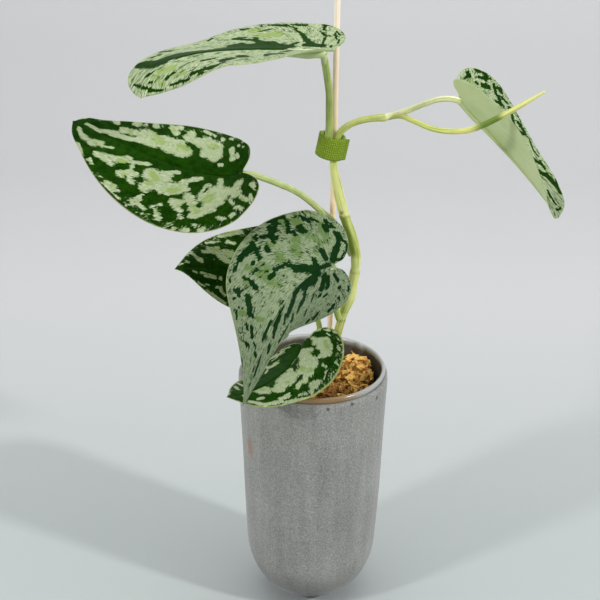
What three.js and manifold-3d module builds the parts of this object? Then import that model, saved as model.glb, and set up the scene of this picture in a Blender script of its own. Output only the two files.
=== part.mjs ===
// Potted scindapsus multicolor: a young climbing plant with six marbled leaves, tied to a
// thin stick, in a nursery pot of sphagnum moss inside a rough grey cachepot.
// Millimetres, +Z up. The origin is the centre of the cachepot's foot on the ground.
import * as THREE from "three";
import { mergeVertices } from "three/addons/utils/BufferGeometryUtils.js";
import Module from "manifold-3d";

const wasm = await Module();
wasm.setup();

// Driving dimensions
const POT_HEIGHT = 137;
const POT_RIM_RADIUS = 40;
const POT_FOOT_RADIUS = 17;
const POT_WALL = 3;
const LINER_TOP = 139.3;
const LINER_LIP_RADIUS = 38.3;
const LINER_MOUTH_RADIUS = 35.2;
const LINER_BOTTOM = 30;
const LINER_BOTTOM_RADIUS = 30.6;
const LINER_WALL = 0.8;
const MOSS_TOP = 124;
const STICK_RADIUS = 1.5;
const STICK_TOP = 340;
const STICK_BOTTOM = 44;
const STICK_AT = [8.4, 8];
const STEM_RADIUS = 2.6;
const BLADE_HALF = 0.4;
const TIE_HEIGHT = 10.5;
const TIE_WALL = 1.2;
const TIE_TILT = 11;
const GAP = 0.32;

const plant = new THREE.Group();
plant.name = "potted_scindapsus_multicolor";

function vec(p) {
  return new THREE.Vector3(p[0], p[1], p[2]);
}

// A closed triangle mesh becomes a solid, with faces out.
function solid(geometry) {
  const bare = geometry.clone();
  bare.deleteAttribute("normal");
  bare.deleteAttribute("uv");
  const merged = mergeVertices(bare, 1e-4);
  const at = merged.attributes.position;
  const index = merged.index.array;
  const faces = [];
  let volume = 0;
  const a = new THREE.Vector3();
  const b = new THREE.Vector3();
  const c = new THREE.Vector3();
  for (let i = 0; i < index.length; i += 3) {
    const [p, q, r] = [index[i], index[i + 1], index[i + 2]];
    if (p === q || q === r || r === p) continue;
    faces.push([p, q, r]);
    a.fromBufferAttribute(at, p);
    b.fromBufferAttribute(at, q);
    c.fromBufferAttribute(at, r);
    volume += a.dot(b.cross(c));
  }
  const triVerts = [];
  for (const [p, q, r] of faces) triVerts.push(...(volume > 0 ? [p, q, r] : [p, r, q]));
  const mesh = new wasm.Mesh({
    numProp: 3,
    vertProperties: new Float32Array(at.array),
    triVerts: new Uint32Array(triVerts),
  });
  return new wasm.Manifold(mesh);
}

// Shells that a cut or join leaves over, closed pockets and crumbs, are left out.
function largeShells(at, index) {
  const shell = Array.from({ length: at.length / 3 }, (_, i) => i);
  function rootOf(i) {
    while (shell[i] !== i) i = shell[i] = shell[shell[i]];
    return i;
  }
  for (let i = 0; i < index.length; i += 3) {
    shell[rootOf(index[i + 1])] = rootOf(index[i]);
    shell[rootOf(index[i + 2])] = rootOf(index[i]);
  }
  const volumes = new Map();
  for (let i = 0; i < index.length; i += 3) {
    const [a, b, c] = [0, 1, 2].map((k) => new THREE.Vector3().fromArray(at, 3 * index[i + k]));
    const key = rootOf(index[i]);
    volumes.set(key, (volumes.get(key) || 0) + a.dot(b.cross(c)) / 6);
  }
  const kept = [];
  for (let i = 0; i < index.length; i += 3) {
    if (volumes.get(rootOf(index[i])) > 2) kept.push(index[i], index[i + 1], index[i + 2]);
  }
  return kept;
}

function addPiece(name, body, colour, roughness, metalness = 0) {
  const cut = body.getMesh();
  const geometry = new THREE.BufferGeometry();
  geometry.setAttribute("position", new THREE.BufferAttribute(cut.vertProperties, 3));
  geometry.setIndex(largeShells(cut.vertProperties, cut.triVerts));
  geometry.computeVertexNormals();
  const material = new THREE.MeshStandardMaterial({ color: colour, roughness, metalness });
  const mesh = new THREE.Mesh(geometry, material);
  mesh.name = name;
  plant.add(mesh);
}

// Turned body: radius and height pairs that start and end on the axis, or close on themselves.
function turned(profile, segments) {
  const geometry = new THREE.LatheGeometry(
    profile.map(([r, z]) => new THREE.Vector2(r, z)),
    segments,
  );
  geometry.rotateX(Math.PI / 2);
  return solid(geometry);
}

// Round rod along a curve whose radius follows a list of values from start to end.
function rod(curve, radii, sides, steps, extra = 0) {
  const ring = [];
  for (let i = 0; i < sides; i++) {
    const turn = (2 * Math.PI * i) / sides;
    ring.push(new THREE.Vector2(Math.cos(turn), Math.sin(turn)));
  }
  const geometry = new THREE.ExtrudeGeometry(new THREE.Shape(ring), {
    extrudePath: curve,
    steps,
    bevelEnabled: false,
  });
  const stations = curve.getSpacedPoints(steps);
  const at = geometry.attributes.position;
  const p = new THREE.Vector3();
  for (let i = 0; i < at.count; i++) {
    p.fromBufferAttribute(at, i);
    let best = 0;
    for (let k = 1; k < stations.length; k++) {
      if (p.distanceToSquared(stations[k]) < p.distanceToSquared(stations[best])) best = k;
    }
    const place = (best / steps) * (radii.length - 1);
    const k = Math.min(Math.floor(place), radii.length - 2);
    const radius = THREE.MathUtils.lerp(radii[k], radii[k + 1], place - k) + extra;
    p.sub(stations[best]).multiplyScalar(radius).add(stations[best]);
    at.setXYZ(i, p.x, p.y, p.z);
  }
  return solid(geometry);
}

function path(points) {
  return new THREE.CatmullRomCurve3(points.map((p) => (p.isVector3 ? p : vec(p))), false, "centripetal");
}

function stretch(curve, from, to, count) {
  const points = [];
  for (let i = 0; i < count; i++) points.push(curve.getPointAt(from + ((to - from) * i) / (count - 1)));
  return points;
}

// Cachepot: thick rough wall, rounded bottom with a flat foot, softened rim.
const potOuter = [
  [0, 0],
  [POT_FOOT_RADIUS, 0],
  [POT_FOOT_RADIUS + 1.7, 0.8],
  [22.2, 5],
  [27.2, 10],
  [31.3, 16],
  [34.2, 23],
  [35.7, 30],
  [36.4, 40],
  [37.4, 62],
  [38.5, 94],
  [39.4, 118],
  [POT_RIM_RADIUS, POT_HEIGHT - 1],
  [POT_RIM_RADIUS - 0.7, POT_HEIGHT],
];
const potInner = [
  [POT_RIM_RADIUS - POT_WALL + 0.4, POT_HEIGHT],
  [POT_RIM_RADIUS - POT_WALL, POT_HEIGHT - 0.7],
  [35.6, 94],
  [34.4, 62],
  [33.2, 38],
  [32.2, 28],
  [28.5, 18],
  [22, 10.5],
  [14, 7],
  [0, 6],
];
addPiece("outer_pot", turned([...potOuter, ...potInner], 40), 0x999996, 0.93);

// Nursery pot: thin tapered liner that hangs by its rolled lip on the cachepot's rim.
const lipUnder = POT_HEIGHT + GAP;
addPiece(
  "inner_pot",
  turned(
    [
      [0, LINER_BOTTOM],
      [LINER_BOTTOM_RADIUS - 1, LINER_BOTTOM],
      [LINER_BOTTOM_RADIUS, LINER_BOTTOM + 1],
      [LINER_MOUTH_RADIUS + LINER_WALL, lipUnder],
      [LINER_LIP_RADIUS - 0.4, lipUnder],
      [LINER_LIP_RADIUS, lipUnder + 0.5],
      [LINER_LIP_RADIUS - 0.2, LINER_TOP - 0.5],
      [LINER_LIP_RADIUS - 0.9, LINER_TOP],
      [LINER_MOUTH_RADIUS + 0.6, LINER_TOP],
      [LINER_MOUTH_RADIUS, LINER_TOP - 0.7],
      [LINER_MOUTH_RADIUS, lipUnder],
      [LINER_BOTTOM_RADIUS - LINER_WALL, LINER_BOTTOM + 1 + LINER_WALL],
      [0, LINER_BOTTOM + 1 + LINER_WALL],
    ],
    36,
  ),
  0x8d8a84,
  0.35,
);

// Stem: one jointed shoot, swollen at its joints, that leaves the tie to the right.
const stemCurve = path([
  [2.5, 4, 106],
  [5.2, 3.4, 124],
  [8.7, 3, 140.5],
  [14, 2, 165.3],
  [18.2, 1, 181.9],
  [20.8, 0, 199.7],
  [18.4, 0, 212.8],
  [14, 0, 225.7],
  [10.7, 0, 238.3],
  [8.2, -0.5, 251],
  [8.6, -0.5, 260.7],
  [10.6, -1, 267.5],
  [13.9, -2, 271.4],
  [18.8, -3, 274.3],
  [26.1, -4, 276.3],
  [32.6, -5, 277],
]);
const stemRadii = [
  STEM_RADIUS, 2.6, 2.5, 2.5, 2.6, 2.7, 2.4, 2.3, 2.5, 3.6, 2.9, 2.5,
  2.7, 2.8, 2.6, 2.6, 2.6, 2.3, 1.9, 1.7, 1.7, 1.7, 1.7, 2.0,
];
const STEM_STEPS = 40;
const stemRoom = rod(stemCurve, stemRadii, 9, STEM_STEPS, GAP);
addPiece("vine_stem", rod(stemCurve, stemRadii, 9, STEM_STEPS), 0xa9bc5c, 0.5);

// Support stick: plain round wood.
const stickCurve = new THREE.LineCurve3(
  vec([...STICK_AT, STICK_BOTTOM]),
  vec([...STICK_AT, STICK_TOP]),
);
const stickRoom = rod(stickCurve, [STICK_RADIUS, STICK_RADIUS], 12, 2, GAP);
const stick = rod(stickCurve, [STICK_RADIUS, STICK_RADIUS], 12, 2).subtract(stemRoom);
addPiece("support_stick", stick, 0xe4c49a, 0.65);

// Rolled new leaf at the end of the stem.
const spearCurve = path([
  [33.1, -5.1, 277.1],
  [39.5, -6, 278.4],
  [45.5, -9, 276.9],
  [54.5, -16, 275.1],
  [63.2, -24, 276.2],
  [71.3, -31, 279.4],
  [81.4, -38, 286.7],
  [91.2, -42, 294.1],
  [100.3, -45, 301],
]);
const spearRadii = [1.5, 1.4, 1.4, 1.4, 1.45, 1.4, 1.2, 0.9, 0.4];
const spear = rod(spearCurve, spearRadii, 8, 16).subtract(stemRoom);
const spearRoom = rod(spearCurve, spearRadii, 8, 16, GAP);
addPiece("new_leaf_spear", spear, 0xcbdc57, 0.45);

// Leaves. Each blade is a heart-shaped sheet drawn flat and then bent in space. x runs along
// the midrib and y away from it, both as fractions of the midrib's length. left and right are
// as seen from the stalk towards the tip with the upper face up.
// midrib: Bezier points. up: normal of the upper face at stalk, middle and tip.
// fold: degrees that a half rises from the midrib, at stalk and tip.
// bend: radians that a half curls over one length, at stalk and tip.
// lobeDrop: radians per length that the two lobes behind the stalk bend down.
const leaves = {
  top: {
    midrib: [[2, -19.7, 312.4], [-31.9, -18.5, 311.1], [-76.5, -29.6, 319.1], [-78.9, -48.5, 296.2]],
    up: [[-0.47, 0.07, 0.88], [-0.66, -0.02, 0.75], [-0.47, -0.37, 0.8]],
    fold: { left: [7, -36], right: [9, 2] },
    bend: { left: [0.4, 0.2], right: [1.1, 0] },
    lobeDrop: 0.23,
    left: [
      [0.036, 0.012], [-0.033, 0.071], [-0.087, 0.121], [-0.102, 0.179], [-0.066, 0.243], [0.037, 0.303],
      [0.18, 0.335], [0.363, 0.325], [0.555, 0.28], [0.728, 0.217], [0.878, 0.148], [0.957, 0.082],
    ],
    right: [
      [-0.05, 0.012], [-0.063, 0.036], [-0.099, 0.114], [-0.102, 0.179], [-0.065, 0.242], [0.038, 0.299],
      [0.18, 0.347], [0.369, 0.346], [0.558, 0.286], [0.73, 0.221], [0.879, 0.149], [0.952, 0.072],
    ],
    stalk: [
      [4.3, -1.8, 257.5], [5.6, -2.3, 268], [5.5, -6, 281], [5.2, -9.5, 290], [3.8, -14, 300.5],
      [2.7, -17.8, 307.5], [2.1, -19.5, 311.6],
    ],
    stalkRadius: 1.8,
    green: 0x7f9a45,
  },
  left: {
    midrib: [[-36.1, -13.9, 251.5], [-56.6, -7.6, 240.4], [-100.6, -7.2, 266.6], [-121.4, 9.3, 268.9]],
    up: [[-0.15, -0.44, 0.89], [-0.24, -0.46, 0.85], [-0.18, -0.48, 0.86]],
    fold: { left: [5, -11], right: [9, 3] },
    bend: { left: [-0.8, -0.9], right: [-0.6, -0.7] },
    lobeDrop: 0.23,
    left: [
      [-0.01, 0.012], [-0.053, 0.047], [-0.104, 0.112], [-0.121, 0.182], [-0.085, 0.264], [0.026, 0.339],
      [0.181, 0.377], [0.374, 0.367], [0.568, 0.308], [0.732, 0.225], [0.868, 0.131], [0.946, 0.06],
    ],
    right: [
      [-0.003, 0.012], [-0.033, 0.071], [-0.051, 0.141], [-0.047, 0.168], [-0.025, 0.195], [0.051, 0.257],
      [0.179, 0.297], [0.351, 0.282], [0.531, 0.226], [0.694, 0.154], [0.837, 0.078], [0.934, 0.037],
    ],
    stalk: [
      [18.6, 0, 203.5], [13.8, 2, 213.1], [8.1, 3, 221], [4.2, 2.5, 224.4], [-2.9, 0, 231.8],
      [-10.5, -4, 238.7], [-18, -7.5, 243.3], [-25.3, -10.5, 247.2], [-31.1, -12.6, 249.6],
      [-35.6, -13.7, 250.7],
    ],
    stalkRadius: 1.6,
    green: 0x9fb267,
  },
  back: {
    midrib: [[-18.9, 7.6, 197.5], [-45, 24.8, 180], [-57.9, -4.2, 199.5], [-69.9, -19.4, 202.2]],
    up: [[0.03, -0.79, 0.61], [-0.05, -0.83, 0.55], [0.32, -0.77, 0.54]],
    fold: { left: [-6, -5], right: [-8, -4] },
    bend: { left: [-0.5, -0.4], right: [-0.7, -0.3] },
    lobeDrop: 0.3,
    left: [
      [-0.008, 0.012], [-0.054, 0.046], [-0.111, 0.107], [-0.129, 0.184], [-0.082, 0.261], [0.031, 0.323],
      [0.18, 0.346], [0.361, 0.319], [0.541, 0.247], [0.699, 0.163], [0.838, 0.08], [0.93, 0.03],
    ],
    right: [
      [-0.011, 0.012], [-0.055, 0.045], [-0.11, 0.108], [-0.125, 0.183], [-0.076, 0.255], [0.034, 0.312],
      [0.18, 0.334], [0.359, 0.312], [0.541, 0.246], [0.702, 0.169], [0.844, 0.091], [0.933, 0.037],
    ],
    stalk: [
      [2.5, 10, 118], [2.2, 12.5, 140], [2.6, 12, 158], [-0.5, 11.5, 166], [-6.2, 12, 176.8],
      [-11.6, 11.8, 187], [-16, 9.9, 194], [-18.6, 8.2, 197],
    ],
    stalkRadius: 1.5,
    green: 0x8fa552,
  },
  front: {
    midrib: [[8.8, -24.2, 207.3], [-12.6, -41.4, 208.8], [-21.4, -83.6, 202.2], [-33.9, -61.6, 149.1]],
    up: [[0.32, -0.5, 0.81], [-0.06, -0.94, 0.34], [-0.15, -0.98, 0.1]],
    fold: { left: [-48, -68], right: [15, -57] },
    bend: { left: [-1.8, -2.1], right: [-0.7, -1.4] },
    lobeDrop: 0.15,
    left: [
      [-0.021, 0.012], [-0.065, 0.033], [-0.12, 0.102], [-0.136, 0.185], [-0.084, 0.264], [0.031, 0.32],
      [0.18, 0.339], [0.359, 0.312], [0.54, 0.245], [0.702, 0.169], [0.844, 0.089], [0.933, 0.036],
    ],
    right: [
      [-0.027, 0.012], [-0.073, 0.023], [-0.14, 0.091], [-0.156, 0.189], [-0.091, 0.273], [0.028, 0.33],
      [0.181, 0.363], [0.366, 0.337], [0.541, 0.247], [0.699, 0.164], [0.84, 0.082], [0.929, 0.028],
    ],
    stalk: [
      [12.9, -0.5, 167.9], [9.5, -6, 181], [8.6, -14, 194], [9.2, -19.5, 202], [8.9, -23.4, 206.4],
    ],
    stalkRadius: 1.6,
    green: 0x9bb060,
  },
  low: {
    midrib: [[-6.6, -5.1, 153.1], [-10.1, -21.2, 146.1], [-29.8, -41.1, 143], [-41.8, -59, 152.2]],
    up: [[-0.4, -0.5, 0.77], [-0.58, -0.68, 0.45], [-0.16, -0.25, 0.96]],
    fold: { left: [17, -26], right: [-13, 12] },
    bend: { left: [-1.6, -0.9], right: [0.5, -0.5] },
    lobeDrop: 0.12,
    left: [
      [-0.009, 0.012], [-0.072, 0.024], [-0.147, 0.087], [-0.169, 0.191], [-0.11, 0.295], [0.015, 0.374],
      [0.181, 0.392], [0.37, 0.35], [0.552, 0.272], [0.713, 0.189], [0.852, 0.103], [0.936, 0.042],
    ],
    right: [
      [-0.055, 0.012], [-0.083, 0.011], [-0.135, 0.093], [-0.135, 0.185], [-0.081, 0.261], [0.031, 0.323],
      [0.18, 0.344], [0.361, 0.318], [0.545, 0.256], [0.709, 0.182], [0.849, 0.098], [0.934, 0.038],
    ],
    stalk: [[1, -1.5, 116], [0.6, -2, 134], [-1.8, -3, 146], [-6, -4.7, 152.2]],
    stalkRadius: 1.4,
    green: 0x8fa552,
  },
  right: {
    midrib: [[68.6, -6.9, 286], [85.7, -10.8, 271.2], [109.1, -10.3, 245.2], [120.8, -3.3, 226.6]],
    up: [[0.38, -0.26, 0.89], [0.99, -0.14, 0.1], [0.8, -0.11, -0.59]],
    fold: { left: [24, 25], right: [45, 25] },
    bend: { left: [-0.2, -0.9], right: [0.2, -0.8] },
    lobeDrop: 0.17,
    left: [
      [-0.025, 0.012], [-0.06, 0.039], [-0.11, 0.108], [-0.118, 0.182], [-0.077, 0.256], [0.032, 0.317],
      [0.18, 0.341], [0.36, 0.317], [0.544, 0.254], [0.712, 0.188], [0.86, 0.117], [0.946, 0.061],
    ],
    right: [
      [0.026, 0.012], [-0.049, 0.052], [-0.111, 0.107], [-0.133, 0.185], [-0.086, 0.267], [0.029, 0.327],
      [0.18, 0.343], [0.358, 0.308], [0.535, 0.234], [0.694, 0.154], [0.835, 0.074], [0.927, 0.025],
    ],
    stalk: [
      [33.3, -5, 277.6], [37.6, -5, 278.6], [44.2, -5.5, 281.3], [51.3, -6, 284.5], [58.4, -6.5, 286.9],
      [65.2, -6.8, 286.8], [68.3, -6.9, 285.6],
    ],
    stalkRadius: 1.5,
    green: 0xc3cf9b,
  },
};

// Midrib point, direction and upper normal at x. Behind the stalk the frame bends down.
function leafFrame(leaf, curve, length, x) {
  const t = THREE.MathUtils.clamp(x, 0, 1);
  const place = curve.getPointAt(t);
  const along = curve.getTangentAt(t);
  const k = Math.min(Math.floor(t * 2), 1);
  const up = vec(leaf.up[k]).lerp(vec(leaf.up[k + 1]), THREE.MathUtils.smoothstep(t * 2 - k, 0, 1));
  up.addScaledVector(along, -up.dot(along)).normalize();
  if (x < 0) {
    const turn = -x * leaf.lobeDrop;
    place.addScaledVector(along, (-Math.sin(turn) / leaf.lobeDrop) * length);
    place.addScaledVector(up, (-(1 - Math.cos(turn)) / leaf.lobeDrop) * length);
    const back = along.clone();
    along.multiplyScalar(Math.cos(turn)).addScaledVector(up, Math.sin(turn));
    up.multiplyScalar(Math.cos(turn)).addScaledVector(back, -Math.sin(turn));
  }
  return { place, along, up, side: new THREE.Vector3().crossVectors(up, along) };
}

// Point of the bent blade. x and y are flat positions as fractions, side is 1 left, -1 right.
function bladePoint(leaf, curve, length, side, x, y) {
  const frame = leafFrame(leaf, curve, length, x);
  const half = side > 0 ? "left" : "right";
  const t = THREE.MathUtils.clamp(x, 0, 1);
  const fold = THREE.MathUtils.degToRad(THREE.MathUtils.lerp(...leaf.fold[half], t));
  const bend = THREE.MathUtils.lerp(...leaf.bend[half], t) || 1e-6;
  const across = (Math.sin(fold + bend * y) - Math.sin(fold)) / bend;
  const rise = (Math.cos(fold) - Math.cos(fold + bend * y)) / bend;
  return frame.place
    .addScaledVector(frame.side, side * across * length)
    .addScaledVector(frame.up, rise * length);
}

// Sheet of vein lines: each leaves the midrib and sweeps towards the tip to the edge. The
// veins of the first part of the edge all start at the stalk.
const EDGE_STEPS = 14;
const VEIN_STEPS = 4;
const FAN_SHARE = 0.3;
function bladeSheet(leaf, curve, length) {
  const points = [];
  const faces = [];
  for (const side of [1, -1]) {
    const outline = side > 0 ? leaf.left : leaf.right;
    const edge = new THREE.CatmullRomCurve3(
      [...outline, [1, 0]].map(([x, y]) => new THREE.Vector3(x, y, 0)),
      false,
      "centripetal",
    );
    const first = points.length;
    for (let i = 0; i <= EDGE_STEPS; i++) {
      const m = edge.getPointAt(i / EDGE_STEPS);
      const share = THREE.MathUtils.clamp((i / EDGE_STEPS - FAN_SHARE) / (1 - FAN_SHARE), 0, 1);
      const start = share ** 1.35;
      const vein = new THREE.QuadraticBezierCurve(
        new THREE.Vector2(start, 0),
        new THREE.Vector2(start + 0.28 * (m.x - start), 0.6 * m.y),
        new THREE.Vector2(m.x, m.y),
      );
      for (let j = 0; j <= VEIN_STEPS; j++) {
        const at = vein.getPoint(j / VEIN_STEPS);
        points.push(bladePoint(leaf, curve, length, side, at.x, at.y));
      }
    }
    const row = VEIN_STEPS + 1;
    for (let i = 0; i < EDGE_STEPS; i++) {
      for (let j = 0; j < VEIN_STEPS; j++) {
        const a = first + i * row + j;
        const [b, c, d] = [a + 1, a + row + 1, a + row];
        if (side > 0) faces.push(a, c, b, a, d, c);
        else faces.push(a, b, c, a, c, d);
      }
    }
  }
  const sheet = new THREE.BufferGeometry().setFromPoints(points);
  sheet.setIndex(faces);
  const merged = mergeVertices(sheet, 1e-3);
  const kept = [];
  for (let i = 0; i < merged.index.count; i += 3) {
    const [p, q, r] = merged.index.array.slice(i, i + 3);
    if (p !== q && q !== r && r !== p) kept.push(p, q, r);
  }
  merged.setIndex(kept);
  merged.computeVertexNormals();
  return merged;
}

// The sheet gets two like-triangulated faces and a wall round its edge.
function thickened(sheet, half) {
  const at = sheet.attributes.position;
  const normal = sheet.attributes.normal;
  const index = Array.from(sheet.index.array);
  const n = at.count;
  const points = [];
  for (const way of [1, -1]) {
    for (let i = 0; i < n; i++) {
      const p = new THREE.Vector3().fromBufferAttribute(at, i);
      points.push(p.addScaledVector(new THREE.Vector3().fromBufferAttribute(normal, i), way * half));
    }
  }
  const faces = [];
  const open = new Map();
  for (let i = 0; i < index.length; i += 3) {
    const [a, b, c] = index.slice(i, i + 3);
    faces.push(a, b, c, a + n, c + n, b + n);
    for (const [p, q] of [[a, b], [b, c], [c, a]]) {
      if (!open.delete(`${q},${p}`)) open.set(`${p},${q}`, [p, q]);
    }
  }
  for (const [p, q] of open.values()) faces.push(q, p, p + n, q, p + n, q + n);
  const body = new THREE.BufferGeometry().setFromPoints(points);
  body.setIndex(faces);
  return solid(body);
}

const STALK_END = 6;
const stalks = {};
const stalkRooms = {};
for (const [name, leaf] of Object.entries(leaves)) {
  const curve = new THREE.CubicBezierCurve3(...leaf.midrib.map(vec));
  curve.arcLengthDivisions = 400;
  const length = curve.getLength();
  const sheet = bladeSheet(leaf, curve, length);
  const stalkCurve = path(leaf.stalk);
  const stalkLength = stalkCurve.getLength();
  const joint = 1 - STALK_END / stalkLength;
  const radius = leaf.stalkRadius;

  // Midrib: runs on from the stalk under the blade and thins out towards the tip.
  const ribPoints = stretch(stalkCurve, joint, 0.97, 4);
  for (const x of [0.1, 0.25, 0.45, 0.65, 0.85]) {
    const frame = leafFrame(leaf, curve, length, x);
    ribPoints.push(frame.place.addScaledVector(frame.up, -0.35 - 0.7 * (1 - x)));
  }
  const rib = rod(path(ribPoints), [radius, radius, 1.5, 1.2, 1, 0.85, 0.7, 0.6], 6, 12);
  const blade = thickened(sheet, BLADE_HALF).add(rib).subtract(stemRoom).subtract(stickRoom);
  addPiece(`leaf_${name}`, blade, 0x6f8f5c, 0.4);

  const bodyCurve = path(stretch(stalkCurve, 0, joint - GAP / stalkLength, 12));
  const steps = Math.max(8, Math.round(stalkLength / 5));
  let stalk = rod(bodyCurve, [radius * 1.15, radius, radius], 8, steps);
  stalk = stalk.subtract(stemRoom).subtract(stickRoom).subtract(spearRoom);
  stalk = stalk.subtract(thickened(sheet, BLADE_HALF + GAP));
  stalks[name] = stalk;
  stalkRooms[name] = rod(bodyCurve, [radius * 1.15, radius, radius], 8, steps, GAP);
  addPiece(`petiole_${name}`, stalk, leaf.green, 0.5);
}

// Tie: a woven band round stalk, stem and stick, its outer end lapped over and standing off.
const tieHole = [];
for (let i = 0; i < 28; i++) {
  const turn = (2 * Math.PI * i) / 28;
  tieHole.push(new THREE.Vector2(4.9 * Math.cos(turn), 6.8 * Math.sin(turn)));
}
const tieEdge = [];
for (let i = 0; i <= 30; i++) {
  const turn = THREE.MathUtils.degToRad(-28 + (360 * i) / 30);
  const lapped = i > 15 && i <= 30 ? 1.05 : 0;
  tieEdge.push(
    new THREE.Vector2(
      (4.9 + TIE_WALL + lapped) * Math.cos(turn),
      (6.8 + TIE_WALL + lapped) * Math.sin(turn),
    ),
  );
}
tieEdge.push(new THREE.Vector2(9.2, -2.2), new THREE.Vector2(9.6, -1.2));
const tieShape = new THREE.Shape(tieEdge);
tieShape.holes.push(new THREE.Path(tieHole));
const tieBand = new THREE.ExtrudeGeometry(tieShape, { depth: TIE_HEIGHT, bevelEnabled: false, curveSegments: 1 });
tieBand.translate(0, 0, -TIE_HEIGHT / 2);
tieBand.rotateY(THREE.MathUtils.degToRad(TIE_TILT));
tieBand.translate(6.9, 2.9, 260.6);
const tie = solid(tieBand).subtract(stemRoom).subtract(stickRoom).subtract(stalkRooms.top);
addPiece("plant_tie", tie, 0x5e8512, 0.85);

// Moss: a plug with an uneven top and loose strands sunk into it, with plain holes for
// what stands in it.
let seed = 7;
function chance() {
  seed = (seed * 16807) % 2147483647;
  return seed / 2147483647;
}
function linerRadius(z) {
  const share = (z - LINER_BOTTOM - 1) / (lipUnder - LINER_BOTTOM - 1);
  return THREE.MathUtils.lerp(LINER_BOTTOM_RADIUS - LINER_WALL, LINER_MOUTH_RADIUS, share) - GAP - 0.15;
}
const plugBottom = LINER_BOTTOM + 1 + LINER_WALL + GAP;
let moss = turned(
  [
    [0, plugBottom],
    [linerRadius(plugBottom), plugBottom],
    [linerRadius(MOSS_TOP - 3), MOSS_TOP - 3],
    [linerRadius(MOSS_TOP) - 1.5, MOSS_TOP - 1],
    [24, MOSS_TOP + 0.6],
    [12, MOSS_TOP],
    [0, MOSS_TOP + 0.5],
  ],
  28,
);
const strandRoom = turned(
  [
    [0, plugBottom],
    [linerRadius(plugBottom) - 0.4, plugBottom],
    [linerRadius(138) - 0.4, 138],
    [0, 138],
  ],
  28,
);
for (let i = 0; i < 15; i++) {
  const turn = 2 * Math.PI * chance();
  const reach = 31 * Math.sqrt(chance());
  const onClump = i < 6;
  const centre = onClump
    ? new THREE.Vector3(25 + 4 * chance(), 8 * (chance() - 0.5) * 2, MOSS_TOP + 3.5 * chance())
    : new THREE.Vector3(reach * Math.cos(turn), reach * Math.sin(turn), MOSS_TOP);
  const heading = 2 * Math.PI * chance();
  const dir = new THREE.Vector3(Math.cos(heading), Math.sin(heading), 0);
  const size = 4 + 4 * chance();
  const lift = 1.5 + 2 * chance();
  const strand = rod(
    path([
      centre.clone().addScaledVector(dir, -size).setZ(centre.z - 2),
      centre.clone().setZ(centre.z + lift),
      centre.clone().addScaledVector(dir, size).setZ(centre.z - 1),
    ]),
    [1.2, 1.7, 1.3],
    5,
    4,
  );
  moss = moss.add(strand.intersect(strandRoom));
}
const clumpCore = turned([[0, MOSS_TOP - 4], [7, MOSS_TOP - 3], [5.5, MOSS_TOP + 3], [0, MOSS_TOP + 5]], 10);
moss = moss.add(clumpCore.translate([25.5, 1, 0]).intersect(strandRoom));
moss = moss.subtract(stemRoom).subtract(stickRoom);
moss = moss.subtract(stalkRooms.back).subtract(stalkRooms.low);
addPiece("moss", moss, 0xb4853a, 0.9);

export default plant;
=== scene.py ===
# A potted scindapsus multicolor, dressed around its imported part.
import math

import bpy
import numpy as np
from mathutils import Matrix, Vector


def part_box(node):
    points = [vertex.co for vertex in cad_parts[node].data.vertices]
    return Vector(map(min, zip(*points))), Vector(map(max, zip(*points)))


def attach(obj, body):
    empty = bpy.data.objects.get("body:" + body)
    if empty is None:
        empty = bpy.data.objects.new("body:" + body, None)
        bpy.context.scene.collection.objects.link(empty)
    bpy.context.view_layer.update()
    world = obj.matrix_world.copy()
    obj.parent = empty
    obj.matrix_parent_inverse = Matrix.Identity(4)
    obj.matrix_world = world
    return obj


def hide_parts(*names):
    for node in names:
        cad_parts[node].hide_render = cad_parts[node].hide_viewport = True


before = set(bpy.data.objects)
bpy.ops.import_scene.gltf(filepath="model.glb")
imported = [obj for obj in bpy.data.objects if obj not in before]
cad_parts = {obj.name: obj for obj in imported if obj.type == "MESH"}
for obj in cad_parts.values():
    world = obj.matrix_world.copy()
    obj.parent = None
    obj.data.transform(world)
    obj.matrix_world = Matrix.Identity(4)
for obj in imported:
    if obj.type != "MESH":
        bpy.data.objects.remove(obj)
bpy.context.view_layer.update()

# Viewpoint: the photograph looks slightly down on the plant from the front, from about
# 0.7 m away, with a long lens.
VIEW_BACK = 0.569
VIEW_HEIGHT = 0.433
VIEW_DOWN = math.radians(24.15)
VIEW_TURN = math.radians(-0.77)
VIEW_ROLL = math.radians(0.66)
VIEW_LENS = 72
viewpoint = bpy.data.objects.new("viewpoint", bpy.data.cameras.new("viewpoint"))
viewpoint.data.sensor_width = 36
viewpoint.data.lens = VIEW_LENS
look = Vector(
    (
        math.sin(VIEW_TURN) * math.cos(VIEW_DOWN),
        math.cos(VIEW_TURN) * math.cos(VIEW_DOWN),
        -math.sin(VIEW_DOWN),
    )
)
level = look.cross(Vector((0, 0, 1))).normalized()
above = level.cross(look)
across = math.cos(VIEW_ROLL) * level + math.sin(VIEW_ROLL) * above
upward = math.cos(VIEW_ROLL) * above - math.sin(VIEW_ROLL) * level
viewpoint.matrix_world = Matrix(
    (
        (across.x, upward.x, -look.x, 0),
        (across.y, upward.y, -look.y, -VIEW_BACK),
        (across.z, upward.z, -look.z, VIEW_HEIGHT),
        (0, 0, 0, 1),
    )
)
bpy.context.scene.collection.objects.link(viewpoint)
bpy.context.scene.camera = viewpoint


# Cachepot: thrown grey stoneware left raw, its wall a little uneven and gritty, with a small
# flat foot under a rounded bottom. It stands on the ground and carries everything else.
MM = 0.001
POT_SIDES = 168
POT_STEPS = 260


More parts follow.
